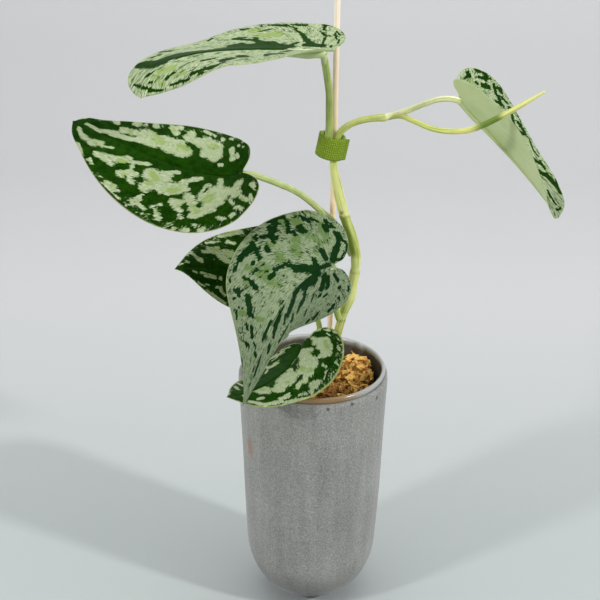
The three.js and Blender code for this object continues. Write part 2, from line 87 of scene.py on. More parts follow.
def mesh_of(name, points, faces, *materials):
    """A linked, smooth mesh object from points in millimetres."""
    mesh = bpy.data.meshes.new(name)
    mesh.from_pydata((np.asarray(points, float) * MM).tolist(), [], [list(f) for f in faces])
    mesh.polygons.foreach_set("use_smooth", [True] * len(mesh.polygons))
    for one in materials:
        mesh.materials.append(one)
    mesh.update()
    piece = bpy.data.objects.new(name, mesh)
    bpy.context.scene.collection.objects.link(piece)
    return piece


def seated(piece, node):
    """The piece rides on the plant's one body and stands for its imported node."""
    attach(piece, "root")
    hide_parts(node)


def smoothstep(low, high, value):
    share = np.clip((value - low) / (high - low), 0, 1)
    return share * share * (3 - 2 * share)


def rounded(points, steps):
    """A smooth centripetal curve through the points, with even spacing."""
    p = np.asarray(points, float)
    p = np.vstack([2 * p[0] - p[1], p, 2 * p[-1] - p[-2]])
    t = np.linspace(0, 1, 24, endpoint=False)[:, None]
    parts = []
    for a, b, c, d in zip(p, p[1:], p[2:], p[3:]):
        ab, bc, cd = (max(np.linalg.norm(y - x) ** 0.5, 1e-6) for x, y in ((a, b), (b, c), (c, d)))
        leave = ((b - a) / ab - (c - a) / (ab + bc) + (c - b) / bc) * bc
        reach = ((c - b) / bc - (d - b) / (bc + cd) + (d - c) / cd) * bc
        parts.append(
            (2 * t**3 - 3 * t**2 + 1) * b
            + (t**3 - 2 * t**2 + t) * leave
            + (3 * t**2 - 2 * t**3) * c
            + (t**3 - t**2) * reach
        )
    fine = np.vstack([*parts, p[-2:-1]])
    run = np.r_[0, np.cumsum(np.linalg.norm(np.diff(fine, axis=0), axis=1))]
    even = np.linspace(0, run[-1], steps)
    return np.stack([np.interp(even, run, fine[:, k]) for k in range(fine.shape[1])], -1)


def wrapped(rows, sides):
    """Faces of rows of points that each close on themselves, with a fan at both ends. The
    fans' middle points follow the rows, the first row's before the last row's."""
    faces = []
    for i in range(rows - 1):
        for k in range(sides):
            n = (k + 1) % sides
            faces.append((i * sides + k, i * sides + n, (i + 1) * sides + n, (i + 1) * sides + k))
    last = (rows - 1) * sides
    for k in range(sides):
        n = (k + 1) % sides
        faces.append((rows * sides, n, k))
        faces.append((rows * sides + 1, last + k, last + n))
    return faces


def turned(name, profile, sides, material, swell=None):
    """A turned body. The profile of radius and height starts and ends on the axis."""
    ring = np.linspace(0, 2 * math.pi, sides, endpoint=False)
    rows = profile[1:-1]
    radius = rows[:, 0][:, None] * np.ones(sides)
    height = rows[:, 1][:, None] * np.ones(sides)
    if swell is not None:
        radius = radius + swell(radius, height, ring[None, :])
    points = np.stack([radius * np.cos(ring), radius * np.sin(ring), height], -1).reshape(-1, 3)
    points = np.vstack([points, [0, 0, profile[0, 1]], [0, 0, profile[-1, 1]]])
    return mesh_of(name, points, wrapped(len(rows), sides), material)


class Nodes:
    """A node tree, with a short way to add a node and to set or link its inputs."""

    def __init__(self, tree):
        self.tree = tree

    def node(self, kind, inputs=None, **settings):
        made = self.tree.nodes.new(kind)
        for key, value in settings.items():
            setattr(made, key, value)
        for key, value in (inputs or {}).items():
            if isinstance(value, bpy.types.NodeSocket):
                self.tree.links.new(value, made.inputs[key])
            else:
                made.inputs[key].default_value = value
        return made

    def math(self, operation, a, b=0.0, c=0.0):
        return self.node("ShaderNodeMath", {0: a, 1: b, 2: c}, operation=operation).outputs["Value"]

    def scaled(self, value, gain, plus=0.0):
        """value times gain, plus another value."""
        return self.math("MULTIPLY_ADD", value, gain, plus)


class Finish(Nodes):
    """A material under construction: its shader, and short ways to shape its colour."""

    def __init__(self, name, roughness=0.5, **sockets):
        self.material = bpy.data.materials.new(name)
        self.material.use_nodes = True
        super().__init__(self.material.node_tree)
        self.shader = self.tree.nodes["Principled BSDF"]
        self.shader.inputs["Roughness"].default_value = roughness
        for socket, value in sockets.items():
            self.shader.inputs[socket.replace("_", " ")].default_value = value

    def place(self):
        return self.node("ShaderNodeTexCoord").outputs["Object"]

    def axis(self, letter):
        """The place along X, Y or Z, in metres."""
        return self.node("ShaderNodeSeparateXYZ", {"Vector": self.place()}).outputs[letter]

    def uv(self, name):
        return self.node("ShaderNodeUVMap", uv_map=name).outputs["UV"]

    def read(self, attribute):
        return self.node("ShaderNodeAttribute", attribute_name=attribute).outputs["Fac"]

    def stretched(self, vector, scale):
        return self.node("ShaderNodeMapping", {"Vector": vector, "Scale": scale}).outputs["Vector"]

    def length(self, vector):
        return self.node("ShaderNodeVectorMath", {0: vector}, operation="LENGTH").outputs["Value"]

    def noise(self, vector, scale, detail=3.0, rough=0.55, warp=0.0):
        made = self.node(
            "ShaderNodeTexNoise",
            {"Vector": vector, "Scale": scale, "Detail": detail, "Roughness": rough, "Distortion": warp},
        )
        return made.outputs["Fac"]

    def spread(self, value, low, high, to_low=0.0, to_high=1.0):
        """A soft step between to_low and to_high as the value goes from low to high."""
        made = self.node(
            "ShaderNodeMapRange",
            {"Value": value, "From Min": low, "From Max": high, "To Min": to_low, "To Max": to_high},
            interpolation_type="SMOOTHSTEP",
        )
        return made.outputs["Result"]

    def between(self, share, a, b):
        return self.node("ShaderNodeMix", {0: share, 2: a, 3: b}, data_type="FLOAT").outputs[0]

    def blend(self, share, a, b):
        return self.node("ShaderNodeMix", {0: share, 6: a, 7: b}, data_type="RGBA").outputs[2]

    def colour(self, value):
        self.tree.links.new(value, self.shader.inputs["Base Color"])

    def roughness(self, value):
        self.tree.links.new(value, self.shader.inputs["Roughness"])

    def relief(self, height, strength, distance):
        """A bump in metres, laid over any bump that the material already has."""
        made = self.node("ShaderNodeBump", {"Height": height, "Strength": strength, "Distance": distance})
        previous = self.shader.inputs["Normal"].links
        if previous:
            self.tree.links.new(previous[0].from_socket, made.inputs["Normal"])
        self.tree.links.new(made.outputs["Normal"], self.shader.inputs["Normal"])


def srgb(red, green, blue):
    """A colour from 0 to 255 steps, as the shader wants it."""
    steps = np.array([red, green, blue]) / 255
    linear = np.where(steps <= 0.04045, steps / 12.92, ((steps + 0.055) / 1.055) ** 2.4)
    return (*[float(v) for v in linear], 1.0)


STONE_PALE = srgb(171, 171, 167)
STONE_DARK = srgb(103, 103, 100)
STONE_GRIT = srgb(92, 92, 90)
STONE_PAINTED_SHADE = srgb(74, 74, 72)
STONE_STAIN = srgb(150, 112, 84)
STONE_CHIP = srgb(46, 34, 26)
STAIN_AT = (-0.0330, -0.0200, 0.1010)
STAIN_SIZE = 0.0036
CHIPS_AT = [(0.0077, -0.0391, 0.1352), (0.0330, -0.0226, 0.1330), (0.0200, -0.0345, 0.1360)]
CHIP_SIZE = 0.0013
PAINTED_SHADE_TOP = 0.034

stone = Finish("raw_grey_stoneware", roughness=0.9, Sheen_Weight=0.35, Sheen_Roughness=0.4)
at = stone.place()
clouds = stone.noise(at, 28)
streaks = stone.noise(stone.stretched(at, (1, 1, 0.12)), 170)
grain = stone.noise(at, 1300, rough=0.75)
grit = stone.spread(stone.noise(at, 1000, detail=2), 0.63, 0.74)
tone = stone.scaled(clouds, 0.25, stone.scaled(streaks, 0.3, -0.18))
tone = stone.scaled(grain, 1.1, tone)
colour = stone.blend(stone.spread(tone, 0.3, 1.0), STONE_DARK, STONE_PALE)
colour = stone.blend(stone.scaled(grit, 0.4), colour, STONE_GRIT)
# Painted shade: the stoneware is painted darker towards the bottom, where the wall curves under.
colour = stone.blend(stone.spread(stone.axis("Z"), PAINTED_SHADE_TOP, 0.0), colour, STONE_PAINTED_SHADE)
flaws = [(STAIN_AT, STAIN_SIZE, 0.45, STONE_STAIN)]
flaws += [(spot, CHIP_SIZE, 0.8, STONE_CHIP) for spot in CHIPS_AT]
for spot, size, squeeze, flaw_colour in flaws:
    away = stone.node("ShaderNodeVectorMath", {0: at, 1: spot}, operation="SUBTRACT").outputs[0]
    reach = stone.length(stone.stretched(away, (1, 1, squeeze)))
    ragged = stone.scaled(stone.noise(at, 700), size, reach)
    colour = stone.blend(stone.spread(ragged, size * 1.5, size * 0.9, 0, 0.75), colour, flaw_colour)
stone.colour(colour)
stone.relief(grain, 0.35, 0.0006)
stone.relief(stone.noise(at, 260), 0.3, 0.0008)

pot_low, pot_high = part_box("outer_pot")
RIM = pot_high.x / MM
POT_TOP = pot_high.z / MM
FOOT = 13.5
CAVITY_FLOOR = 6
BELLY = [
    (0, 0), (FOOT, 0), (FOOT + 2, 0.8), (18.8, 3.1), (22.4, 5.7), (27.2, 10.1), (31.3, 16), (34.2, 23),
    (35.7, 30), (36.4, 40), (37.4, 62), (38.5, 94), (39.4, 118), (RIM - 0.05, POT_TOP - 1.4),
    (RIM - 0.35, POT_TOP - 0.4), (RIM - 1, POT_TOP), (RIM - 2.2, POT_TOP - 0.05), (RIM - 2.85, POT_TOP - 0.7),
    (RIM - 3.1, POT_TOP - 3), (35.6, 94), (34.4, 62), (33.2, 38), (32.2, 28), (28.5, 18), (22, 10.5),
    (14, CAVITY_FLOOR + 1), (0, CAVITY_FLOOR),
]


def thrown(radius, height, turn):
    """The slight unevenness of a hand-thrown wall. It never swells outward past the rim."""
    wave = 0.16 * np.sin(3 * turn + height / 31) + 0.1 * np.sin(7 * turn - height / 17)
    rings = 0.05 * np.sin(height * 1.9 + 2 * np.sin(turn))
    return (wave + rings - 0.3) * smoothstep(20, 34, radius) * smoothstep(4, 14, height)


pot = turned("stoneware_cachepot", rounded(BELLY, POT_STEPS), POT_SIDES, stone.material, thrown)
seated(pot, "outer_pot")


# Nursery pot: thin clear plastic, with blown walls and a rolled lip that hangs on the
# cachepot's rim. Dust and moss stain its lip, and its inside below the lip is painted dark as shade.
LINER_TOP = 140.6
LIP_UNDER = POT_TOP + 0.32
LIP = 38.3
MOUTH = 36.2
LINER_FOOT = 30.6
LINER_BOTTOM = 30
LINER_WALL = 0.8
LINER_BASE = 1.8
LINER_SIDES = 128
LINER_STEPS = 150
liner_profile = [
    (0, LINER_BOTTOM), (LINER_FOOT - 1, LINER_BOTTOM), (LINER_FOOT, LINER_BOTTOM + 1),
    (LINER_FOOT + 0.6, LINER_BOTTOM + 12), (LINER_FOOT + 2.2, 66), (LINER_FOOT + 4.2, 100),
    (MOUTH + 0.1, 124), (MOUTH + 0.75, LIP_UNDER - 1), (MOUTH + 0.9, LIP_UNDER),
    (LIP - 0.5, LIP_UNDER + 0.02), (LIP - 0.05, LIP_UNDER + 0.45), (LIP, LIP_UNDER + 1),
    (LIP - 0.15, LIP_UNDER + 2.1), (LIP - 0.5, LIP_UNDER + 2.4), (LIP - 0.45, LINER_TOP - 0.9),
    (LIP - 0.75, LINER_TOP - 0.2), (LIP - 1.2, LINER_TOP), (LIP - 1.8, LINER_TOP - 0.2),
    (LIP - 2.2, LINER_TOP - 1), (MOUTH + 0.25, LIP_UNDER + 0.6), (MOUTH, LIP_UNDER - 1),
    (MOUTH - 0.7, 124), (LINER_FOOT + 3.4, 100), (LINER_FOOT + 1.4, 66),
    (LINER_FOOT - 0.2, LINER_BOTTOM + 12), (LINER_FOOT - LINER_WALL, LINER_BOTTOM + LINER_BASE),
    (0, LINER_BOTTOM + LINER_BASE),
]
LINER_GREY = srgb(176, 178, 176)
LINER_DUST = srgb(152, 124, 84)
LINER_PAINTED_SHADE = srgb(76, 78, 74)

plastic = Finish("clear_nursery_plastic", roughness=0.22, Coat_Weight=0.3, Coat_Roughness=0.15, Alpha=0.88)
at = plastic.place()
cloud = plastic.noise(at, 60)
at_front = plastic.spread(plastic.axis("Y"), -0.026, -0.036)
dusty = plastic.math("MULTIPLY", at_front, plastic.spread(cloud, 0.1, 0.4))
colour = plastic.blend(dusty, LINER_GREY, LINER_DUST)
# Painted shade: below its lip, the nursery pot's wall inside the cachepot is painted dark.
below_lip = plastic.spread(plastic.scaled(cloud, 0.006, plastic.axis("Z")), 0.1428, 0.1395)
radius = plastic.length(plastic.stretched(at, (1, 1, 0)))
painted_shade = plastic.math("MULTIPLY", below_lip, plastic.spread(radius, 0.0374, 0.0366))
plastic.colour(plastic.blend(painted_shade, colour, LINER_PAINTED_SHADE))
plastic.relief(plastic.noise(plastic.stretched(at, (1, 1, 4)), 120), 0.25, 0.0004)

liner = turned("clear_nursery_pot", rounded(liner_profile, LINER_STEPS), LINER_SIDES, plastic.material)
seated(liner, "inner_pot")


# Moss: a plug of dried sphagnum packed to just under the rim, a lumpy bed under a mat of
# loose curled strands, heaped higher at the right and pressed in by the nursery pot's wall.
BED_TOP = 124
BED_RADIUS = 34.1
BED_DEPTH = 8
BED_RINGS = 46
BED_SIDES = 120
HEAP_AT = (25.0, 17.0)
HEAP_RISE = 11.5
HEAP_REACH = 12
STRANDS = 1500
STRAND_LENGTH = 9.5
STRAND_CURL = 0.011
MAT_RADIUS = 33.9
MAT_LOW = BED_TOP - 6
MAT_HIGH = 129.5
HEAP_HIGH = 137
MOSS_GOLD = srgb(236, 190, 104)
MOSS_BROWN = srgb(142, 94, 28)
MOSS_DARK = srgb(46, 24, 4)

moss_finish = Finish("dried_sphagnum", roughness=0.85)
at = moss_finish.place()
patch = moss_finish.noise(at, 90)
fibre = moss_finish.noise(at, 900)
# Painted light and shade: moss is painted lighter the higher it lies, so the low bed between the strands is
# darker.
painted_height_light = moss_finish.spread(moss_finish.axis("Z"), 0.1225, 0.1320)
tone = moss_finish.scaled(fibre, 0.5, moss_finish.scaled(patch, 0.5))
tone = moss_finish.scaled(painted_height_light, 0.35, tone)
colour = moss_finish.blend(moss_finish.spread(tone, 0.36, 0.62), MOSS_DARK, MOSS_BROWN)
moss_finish.colour(moss_finish.blend(moss_finish.spread(tone, 0.56, 0.84), colour, MOSS_GOLD))
moss_finish.relief(fibre, 0.5, 0.0006)


def bed_height(x, y):
    lumps = 1.1 * np.sin(x / 3.7 + 1.3 * np.sin(y / 4.1)) * np.sin(y / 4.9 + 1.1 * np.cos(x / 5.3))
    lumps = lumps + 0.5 * np.sin(x / 1.3 + y / 1.9) * np.sin(y / 1.5 - x / 2.3)
    heap = np.exp(-((x - HEAP_AT[0]) ** 2 + (y - HEAP_AT[1]) ** 2) / 70)
    return BED_TOP + lumps + HEAP_RISE * heap - 1.2 * smoothstep(26, BED_RADIUS, np.hypot(x, y))


ring = np.linspace(0, 2 * math.pi, BED_SIDES, endpoint=False)
points = []
for i in range(1, BED_RINGS + 1):
    x = BED_RADIUS * i / BED_RINGS * np.cos(ring)
    y = BED_RADIUS * i / BED_RINGS * np.sin(ring)
    points.append(np.stack([x, y, bed_height(x, y)], -1))
points.append(np.stack([x * 0.99, y * 0.99, np.full_like(x, BED_TOP - BED_DEPTH)], -1))
points = np.vstack([*points, [[0, 0, bed_height(0, 0)]], [[0, 0, BED_TOP - BED_DEPTH]]])
faces = [(face[0], *face[:0:-1]) for face in wrapped(BED_RINGS + 1, BED_SIDES)]
bed = mesh_of("moss_bed", points, faces, moss_finish.material)

# The strands: short lines strewn over the bed's upper faces, bent and given a ragged tape's
# section, grown by a Geometry Nodes tree and then held inside the nursery pot.
mat = Nodes(bpy.data.node_groups.new("loose_strands", "GeometryNodeTree"))
mat.tree.interface.new_socket("Geometry", in_out="OUTPUT", socket_type="NodeSocketGeometry")
inputs = {"Geometry": "Geometry", "Density": "Float", "Seed": "Int", "Length": "Float", "Curl": "Float"}
for label, kind in inputs.items():
    mat.tree.interface.new_socket(label, in_out="INPUT", socket_type=f"NodeSocket{kind}")
given = mat.node("NodeGroupInput").outputs
facing = mat.node("GeometryNodeInputNormal").outputs[0]
upward = mat.node("ShaderNodeSeparateXYZ", {0: facing}).outputs[2]
upper = mat.node("FunctionNodeCompare", {0: upward, 1: 0.3}, operation="GREATER_THAN").outputs[0]
spots = mat.node("GeometryNodeDistributePointsOnFaces", {
    "Mesh": given["Geometry"], "Selection": upper, "Density": given["Density"], "Seed": given["Seed"]})
line = mat.node("GeometryNodeCurvePrimitiveLine", {"Start": (-0.5, 0, 0), "End": (0.5, 0, 0)})
line = mat.node("GeometryNodeResampleCurve", {"Curve": line.outputs[0], "Count": 11})
way_limits = {0: (-0.25, -0.38, 0), 1: (0.25, 0.38, 6.283), "Seed": 3}
turn = mat.node("FunctionNodeRandomValue", way_limits, data_type="FLOAT_VECTOR")
size = mat.node("FunctionNodeRandomValue", {2: 0.45, 3: 1.25, "Seed": 5}, data_type="FLOAT")
size = mat.math("MULTIPLY", size.outputs[1], given["Length"])
laid = mat.node("GeometryNodeInstanceOnPoints", {
    "Points": spots.outputs["Points"], "Instance": line.outputs[0], "Rotation": turn.outputs[0],
    "Scale": size})
real = mat.node("GeometryNodeRealizeInstances", {0: laid.outputs[0]})
wild = mat.node("ShaderNodeTexNoise", {"Scale": 210.0, "Detail": 1.0}).outputs["Color"]
wild = mat.node("ShaderNodeVectorMath", {0: wild, 1: (0.5, 0.5, 0.42)}, operation="SUBTRACT").outputs[0]
wild = mat.node("ShaderNodeVectorMath", {0: wild, "Scale": given["Curl"]}, operation="SCALE").outputs[0]
bent = mat.node("GeometryNodeSetPosition", {"Geometry": real.outputs[0], "Offset": wild})
width = mat.node("ShaderNodeTexNoise", {"Scale": 320.0}).outputs[0]
width = mat.node("ShaderNodeMapRange", {
    "Value": width, "From Min": 0.3, "From Max": 0.7, "To Min": 0.0003, "To Max": 0.0013}).outputs[0]
width = mat.node("GeometryNodeSetCurveRadius", {"Curve": bent.outputs[0], "Radius": width})
section = mat.node("GeometryNodeCurvePrimitiveQuadrilateral", {"Width": 2.0, "Height": 0.8})
tubes = mat.node("GeometryNodeCurveToMesh", {
    "Curve": width.outputs[0], "Profile Curve": section.outputs[0], "Fill Caps": True,
    "Scale": mat.node("GeometryNodeInputRadius").outputs[0]})
tubes = mat.node("GeometryNodeRealizeInstances", {0: tubes.outputs[0]})
worn = mat.node("GeometryNodeSetMaterial", {"Geometry": tubes.outputs[0], "Material": moss_finish.material})
mat.node("NodeGroupOutput", {0: worn.outputs[0]})

density = STRANDS / (math.pi * (BED_RADIUS * MM) ** 2)
values = {"Density": density, "Seed": 4, "Length": STRAND_LENGTH * MM, "Curl": STRAND_CURL}
modifier = bed.modifiers.new("grow", "NODES")
modifier.node_group = mat.tree
for item in mat.tree.interface.items_tree:
    if item.name in values:
        modifier[item.identifier] = values[item.name]
bpy.context.view_layer.update()
grown = bpy.data.meshes.new_from_object(bed.evaluated_get(bpy.context.evaluated_depsgraph_get()))
bed.modifiers.remove(modifier)

flat = np.empty(len(grown.vertices) * 3)
grown.vertices.foreach_get("co", flat)
flat = flat.reshape(-1, 3) / MM
room = MAT_RADIUS - 0.25 * np.abs(np.sin(flat[:, 2] * 3))
flat[:, :2] *= np.minimum(1, room / np.maximum(np.hypot(flat[:, 0], flat[:, 1]), 1e-6))[:, None]
from_heap = np.hypot(flat[:, 0] - HEAP_AT[0], flat[:, 1] - HEAP_AT[1])
flat[:, 2] = np.clip(flat[:, 2], MAT_LOW, np.where(from_heap < HEAP_REACH, HEAP_HIGH, MAT_HIGH))
grown.vertices.foreach_set("co", (flat * MM).ravel())
grown.polygons.foreach_set("use_smooth", [False] * len(grown.polygons))
strands = bpy.data.objects.new("moss_strands", grown)
bpy.context.scene.collection.objects.link(strands)
seated(bed, "moss")
seated(strands, "moss")


# Support stick: a plain round rod of pale wood, a little uneven, pushed down through the moss
# beside the stem. Below its top end it is painted a darker, warmer tan as shade.
STICK_AT = (8.4, 8.0)
STICK_RADIUS = 1.5
STICK_FOOT = 44
STICK_TOP = 340
STICK_STEPS = 90
STICK_SIDES = 28
WOOD_PALE = srgb(255, 252, 244)
WOOD_TAN = srgb(252, 232, 202)
WOOD_PAINTED_SHADE = srgb(244, 206, 162)

wood = Finish("pale_stick_wood", roughness=0.62)
at = wood.place()
grain = wood.noise(wood.stretched(at, (1, 1, 0.03)), 2600)
slow = wood.noise(wood.stretched(at, (1, 1, 0.25)), 120)
tone = wood.scaled(slow, 0.4, wood.scaled(grain, 0.6))
colour = wood.blend(wood.spread(tone, 0.34, 0.62), WOOD_TAN, WOOD_PALE)
# Painted shade: below its top end the stick is painted warmer and darker.
wood.colour(wood.blend(wood.spread(wood.axis("Z"), 0.322, 0.29, 0, 0.65), colour, WOOD_PAINTED_SHADE))
wood.relief(grain, 0.3, 0.0002)


def round_section(turn, t):
    return 1


def tube(points, radii, sides, flute=round_section):
    """Points and faces of a closed tube. The radii are spread evenly along it, and the flute
    says how far out its skin lies at each turn, at t of the way along."""
    p = np.asarray(points, float)
    tangent = np.gradient(p, axis=0)
    tangent /= np.linalg.norm(tangent, axis=1)[:, None]
    side = np.cross(tangent[0], (0, 0, 1) if abs(tangent[0][2]) < 0.8 else (0, 1, 0))
    side /= np.linalg.norm(side)
    radius = np.interp(np.linspace(0, 1, len(p)), np.linspace(0, 1, len(radii)), radii)
    turn = np.linspace(0, 2 * math.pi, sides, endpoint=False)
    rings = []
    for i, (spot, way) in enumerate(zip(p, tangent)):
        side = side - way * side.dot(way)
        side /= np.linalg.norm(side)
        other = np.cross(way, side)
        shape = radius[i] * flute(turn, i / (len(p) - 1))
        around = np.cos(turn)[:, None] * side + np.sin(turn)[:, None] * other
        rings.append(spot + around * (shape * np.ones(sides))[:, None])
    return np.vstack([*rings, p[:1], p[-1:]]), wrapped(len(p), sides)


def stick_flute(turn, t):
    return 0.97 + 0.02 * np.sin(3 * turn + 9 * t)


heights = np.linspace(STICK_FOOT, STICK_TOP, STICK_STEPS)
line = np.stack([np.full(STICK_STEPS, STICK_AT[0]), np.full(STICK_STEPS, STICK_AT[1]), heights], -1)
rings, faces = tube(line, [STICK_RADIUS, STICK_RADIUS], STICK_SIDES, stick_flute)
stick = mesh_of("support_stick_wood", rings, faces, wood.material)
seated(stick, "support_stick")


# Stem: one jointed green shoot, with rings and swellings at its joints, that runs up out of
# the moss, through the tie, and off to the right.
STEM_PATH = [
    (2.5, 4, 106), (5.2, 3.4, 124), (8.7, 3, 140.5), (14, 2, 165.3), (18.2, 1, 181.9), (20.8, 0, 199.7),
    (18.4, 0, 212.8), (14, 0, 225.7), (10.7, 0, 238.3), (8.2, -0.5, 251), (8.6, -0.5, 260.7),
    (10.6, -1, 267.5), (13.9, -2, 271.4), (18.8, -3, 274.3), (26.1, -4, 276.3), (33.6, -5.1, 277.2),
]
STEM_RADII = [
    2.6, 2.6, 2.5, 2.5, 2.6, 2.7, 2.4, 2.3, 2.5, 3.6, 2.9, 2.5,
    2.7, 2.8, 2.6, 2.6, 2.6, 2.3, 1.9, 1.7, 1.7, 1.7, 1.7, 2.0,
]
STEM_GREEN = srgb(180, 190, 88)
STEM_PALE = srgb(216, 220, 138)
STEM_DARK = srgb(120, 140, 30)
STEM_BROWN = srgb(92, 66, 32)
JOINTS_AT = [166.5, 194.5, 225.0]
BUD_SCAR = (12.7, -2.2, 227)
STEM_SIDES = 28
STEM_STEPS = 260
STEM_PATTERN = 210


def plant_skin(name, base, pale, dark):
    """Living green skin with fine lengthwise streaks, a pale bloom and brown marks."""
    made = Finish(name, roughness=0.42, Subsurface_Weight=0.08, Coat_Weight=0.12, Coat_Roughness=0.35)
    made.shader.inputs["Subsurface Radius"].default_value = (0.6, 0.9, 0.25)
    made.shader.inputs["Subsurface Scale"].default_value = 0.002
    streak = made.noise(made.stretched(made.uv("along"), (9, 0.05, 1)), 1.0)
    cloud = made.noise(made.place(), 150)
    share = made.scaled(cloud, 0.5, made.scaled(streak, 0.5))
    share = made.scaled(made.read("pale"), 0.5, share)
    tint = made.blend(made.spread(share, 0.36, 0.66), base, pale)
    tint = made.blend(made.spread(streak, 0.5, 0.36, 0, 0.45), tint, dark)
    tint = made.blend(made.read("dark"), tint, dark)
    speck = made.spread(made.noise(made.place(), 1300, detail=2), 0.66, 0.74, 0, 0.35)
    tint = made.blend(speck, tint, STEM_BROWN)
    made.colour(made.blend(made.read("brown"), tint, STEM_BROWN))
    made.relief(streak, 0.25, 0.0003)
    return made.material


def paint(piece, fields, uv_name, uv):
    """The named fields and a UV map, each from one value for each vertex."""
    mesh = piece.data
    for name, value in fields.items():
        layer = mesh.attributes.new(name, "FLOAT", "POINT")
        layer.data.foreach_set("value", np.ascontiguousarray(value, dtype=float))
    corner = np.empty(len(mesh.loops), int)
    mesh.loops.foreach_get("vertex_index", corner)
    layer = mesh.uv_layers.new(name=uv_name)
    layer.data.foreach_set("uv", uv[corner].ravel())


def marked(piece, sides, length, **fields):
    """A tube's painted fields, and its UV map: the turn, and a pattern of this length along."""
    rows = (len(piece.data.vertices) - 2) // sides
    turn = np.r_[np.tile(np.arange(sides) / sides, rows), 0.5, 0.5]
    run = np.r_[np.repeat(np.linspace(0, length, rows), sides), 0, length]
    fields = {name: np.clip(fields.get(name, 0 * run), 0, 1) for name in ("pale", "dark", "brown")}
    paint(piece, fields, "along", np.stack([np.abs(turn * 2 - 1), run], -1))


def rings_at(height, above, spread):
    """A soft band round the stem, this far above each joint."""
    return sum(np.exp(-(((height - joint - above) / spread) ** 2)) for joint in JOINTS_AT)


stem_line = rounded(STEM_PATH, STEM_STEPS)


def stem_flute(turn, t):
    height = np.interp(t, np.linspace(0, 1, STEM_STEPS), stem_line[:, 2])
    groove = 0.05 * np.exp(-((np.angle(np.exp(1j * (turn - 4.2))) / 0.25) ** 2))
    shape = 0.98 + 0.06 * rings_at(height, 0, 0.8) - 0.05 * rings_at(height, 2.2, 0.9) - groove
    return (shape + 0.02 * np.sin(5 * turn + 30 * t)) * (1 - 0.6 * smoothstep(0.992, 1, t) ** 3)


rings, faces = tube(stem_line, STEM_RADII, STEM_SIDES, stem_flute)
stem = mesh_of("vine_stem_skin", rings, faces, plant_skin("stem_skin", STEM_GREEN, STEM_PALE, STEM_DARK))
z = rings[:, 2]
# Painted shade: a stretch of the stem's front, between 202 and 225 mm up, is painted dark, most on its left
# side.
shaded_side = smoothstep(0.9, -0.5, rings[:, 0] - np.interp(z, stem_line[:, 2], stem_line[:, 0]))
in_front = smoothstep(0.5, -1.0, rings[:, 1]) * smoothstep(202, 206, z) * smoothstep(225.3, 224.7, z)
scar = np.exp(-((np.linalg.norm(rings - BUD_SCAR, axis=1) / 0.9) ** 2))
upper_pale = 0.6 * smoothstep(226, 230, z) * smoothstep(262, 240, z)
lower_pale = 0.7 * smoothstep(204, 198, z) * smoothstep(170, 180, z)
marked(
    stem,
    STEM_SIDES,
    STEM_PATTERN,
    pale=rings_at(z, 2.4, 1.3) + upper_pale + lower_pale,
    dark=in_front * (0.25 + 0.75 * shaded_side),
    brown=0.3 * rings_at(z, 0, 0.55) + scar,
)
seated(stem, "vine_stem")


# Leaf stalks: slender grooved green stalks that rise from the stem's joints, each running up
# to its blade, where the blade's rib takes over. They bend over where a leaf weighs them down.
RIB_LEAD = 6.0
STALK_TUCK = 0.3
STALK_SIDES = 22
STALK_STEPS = 400
STALK_RINGS = 110
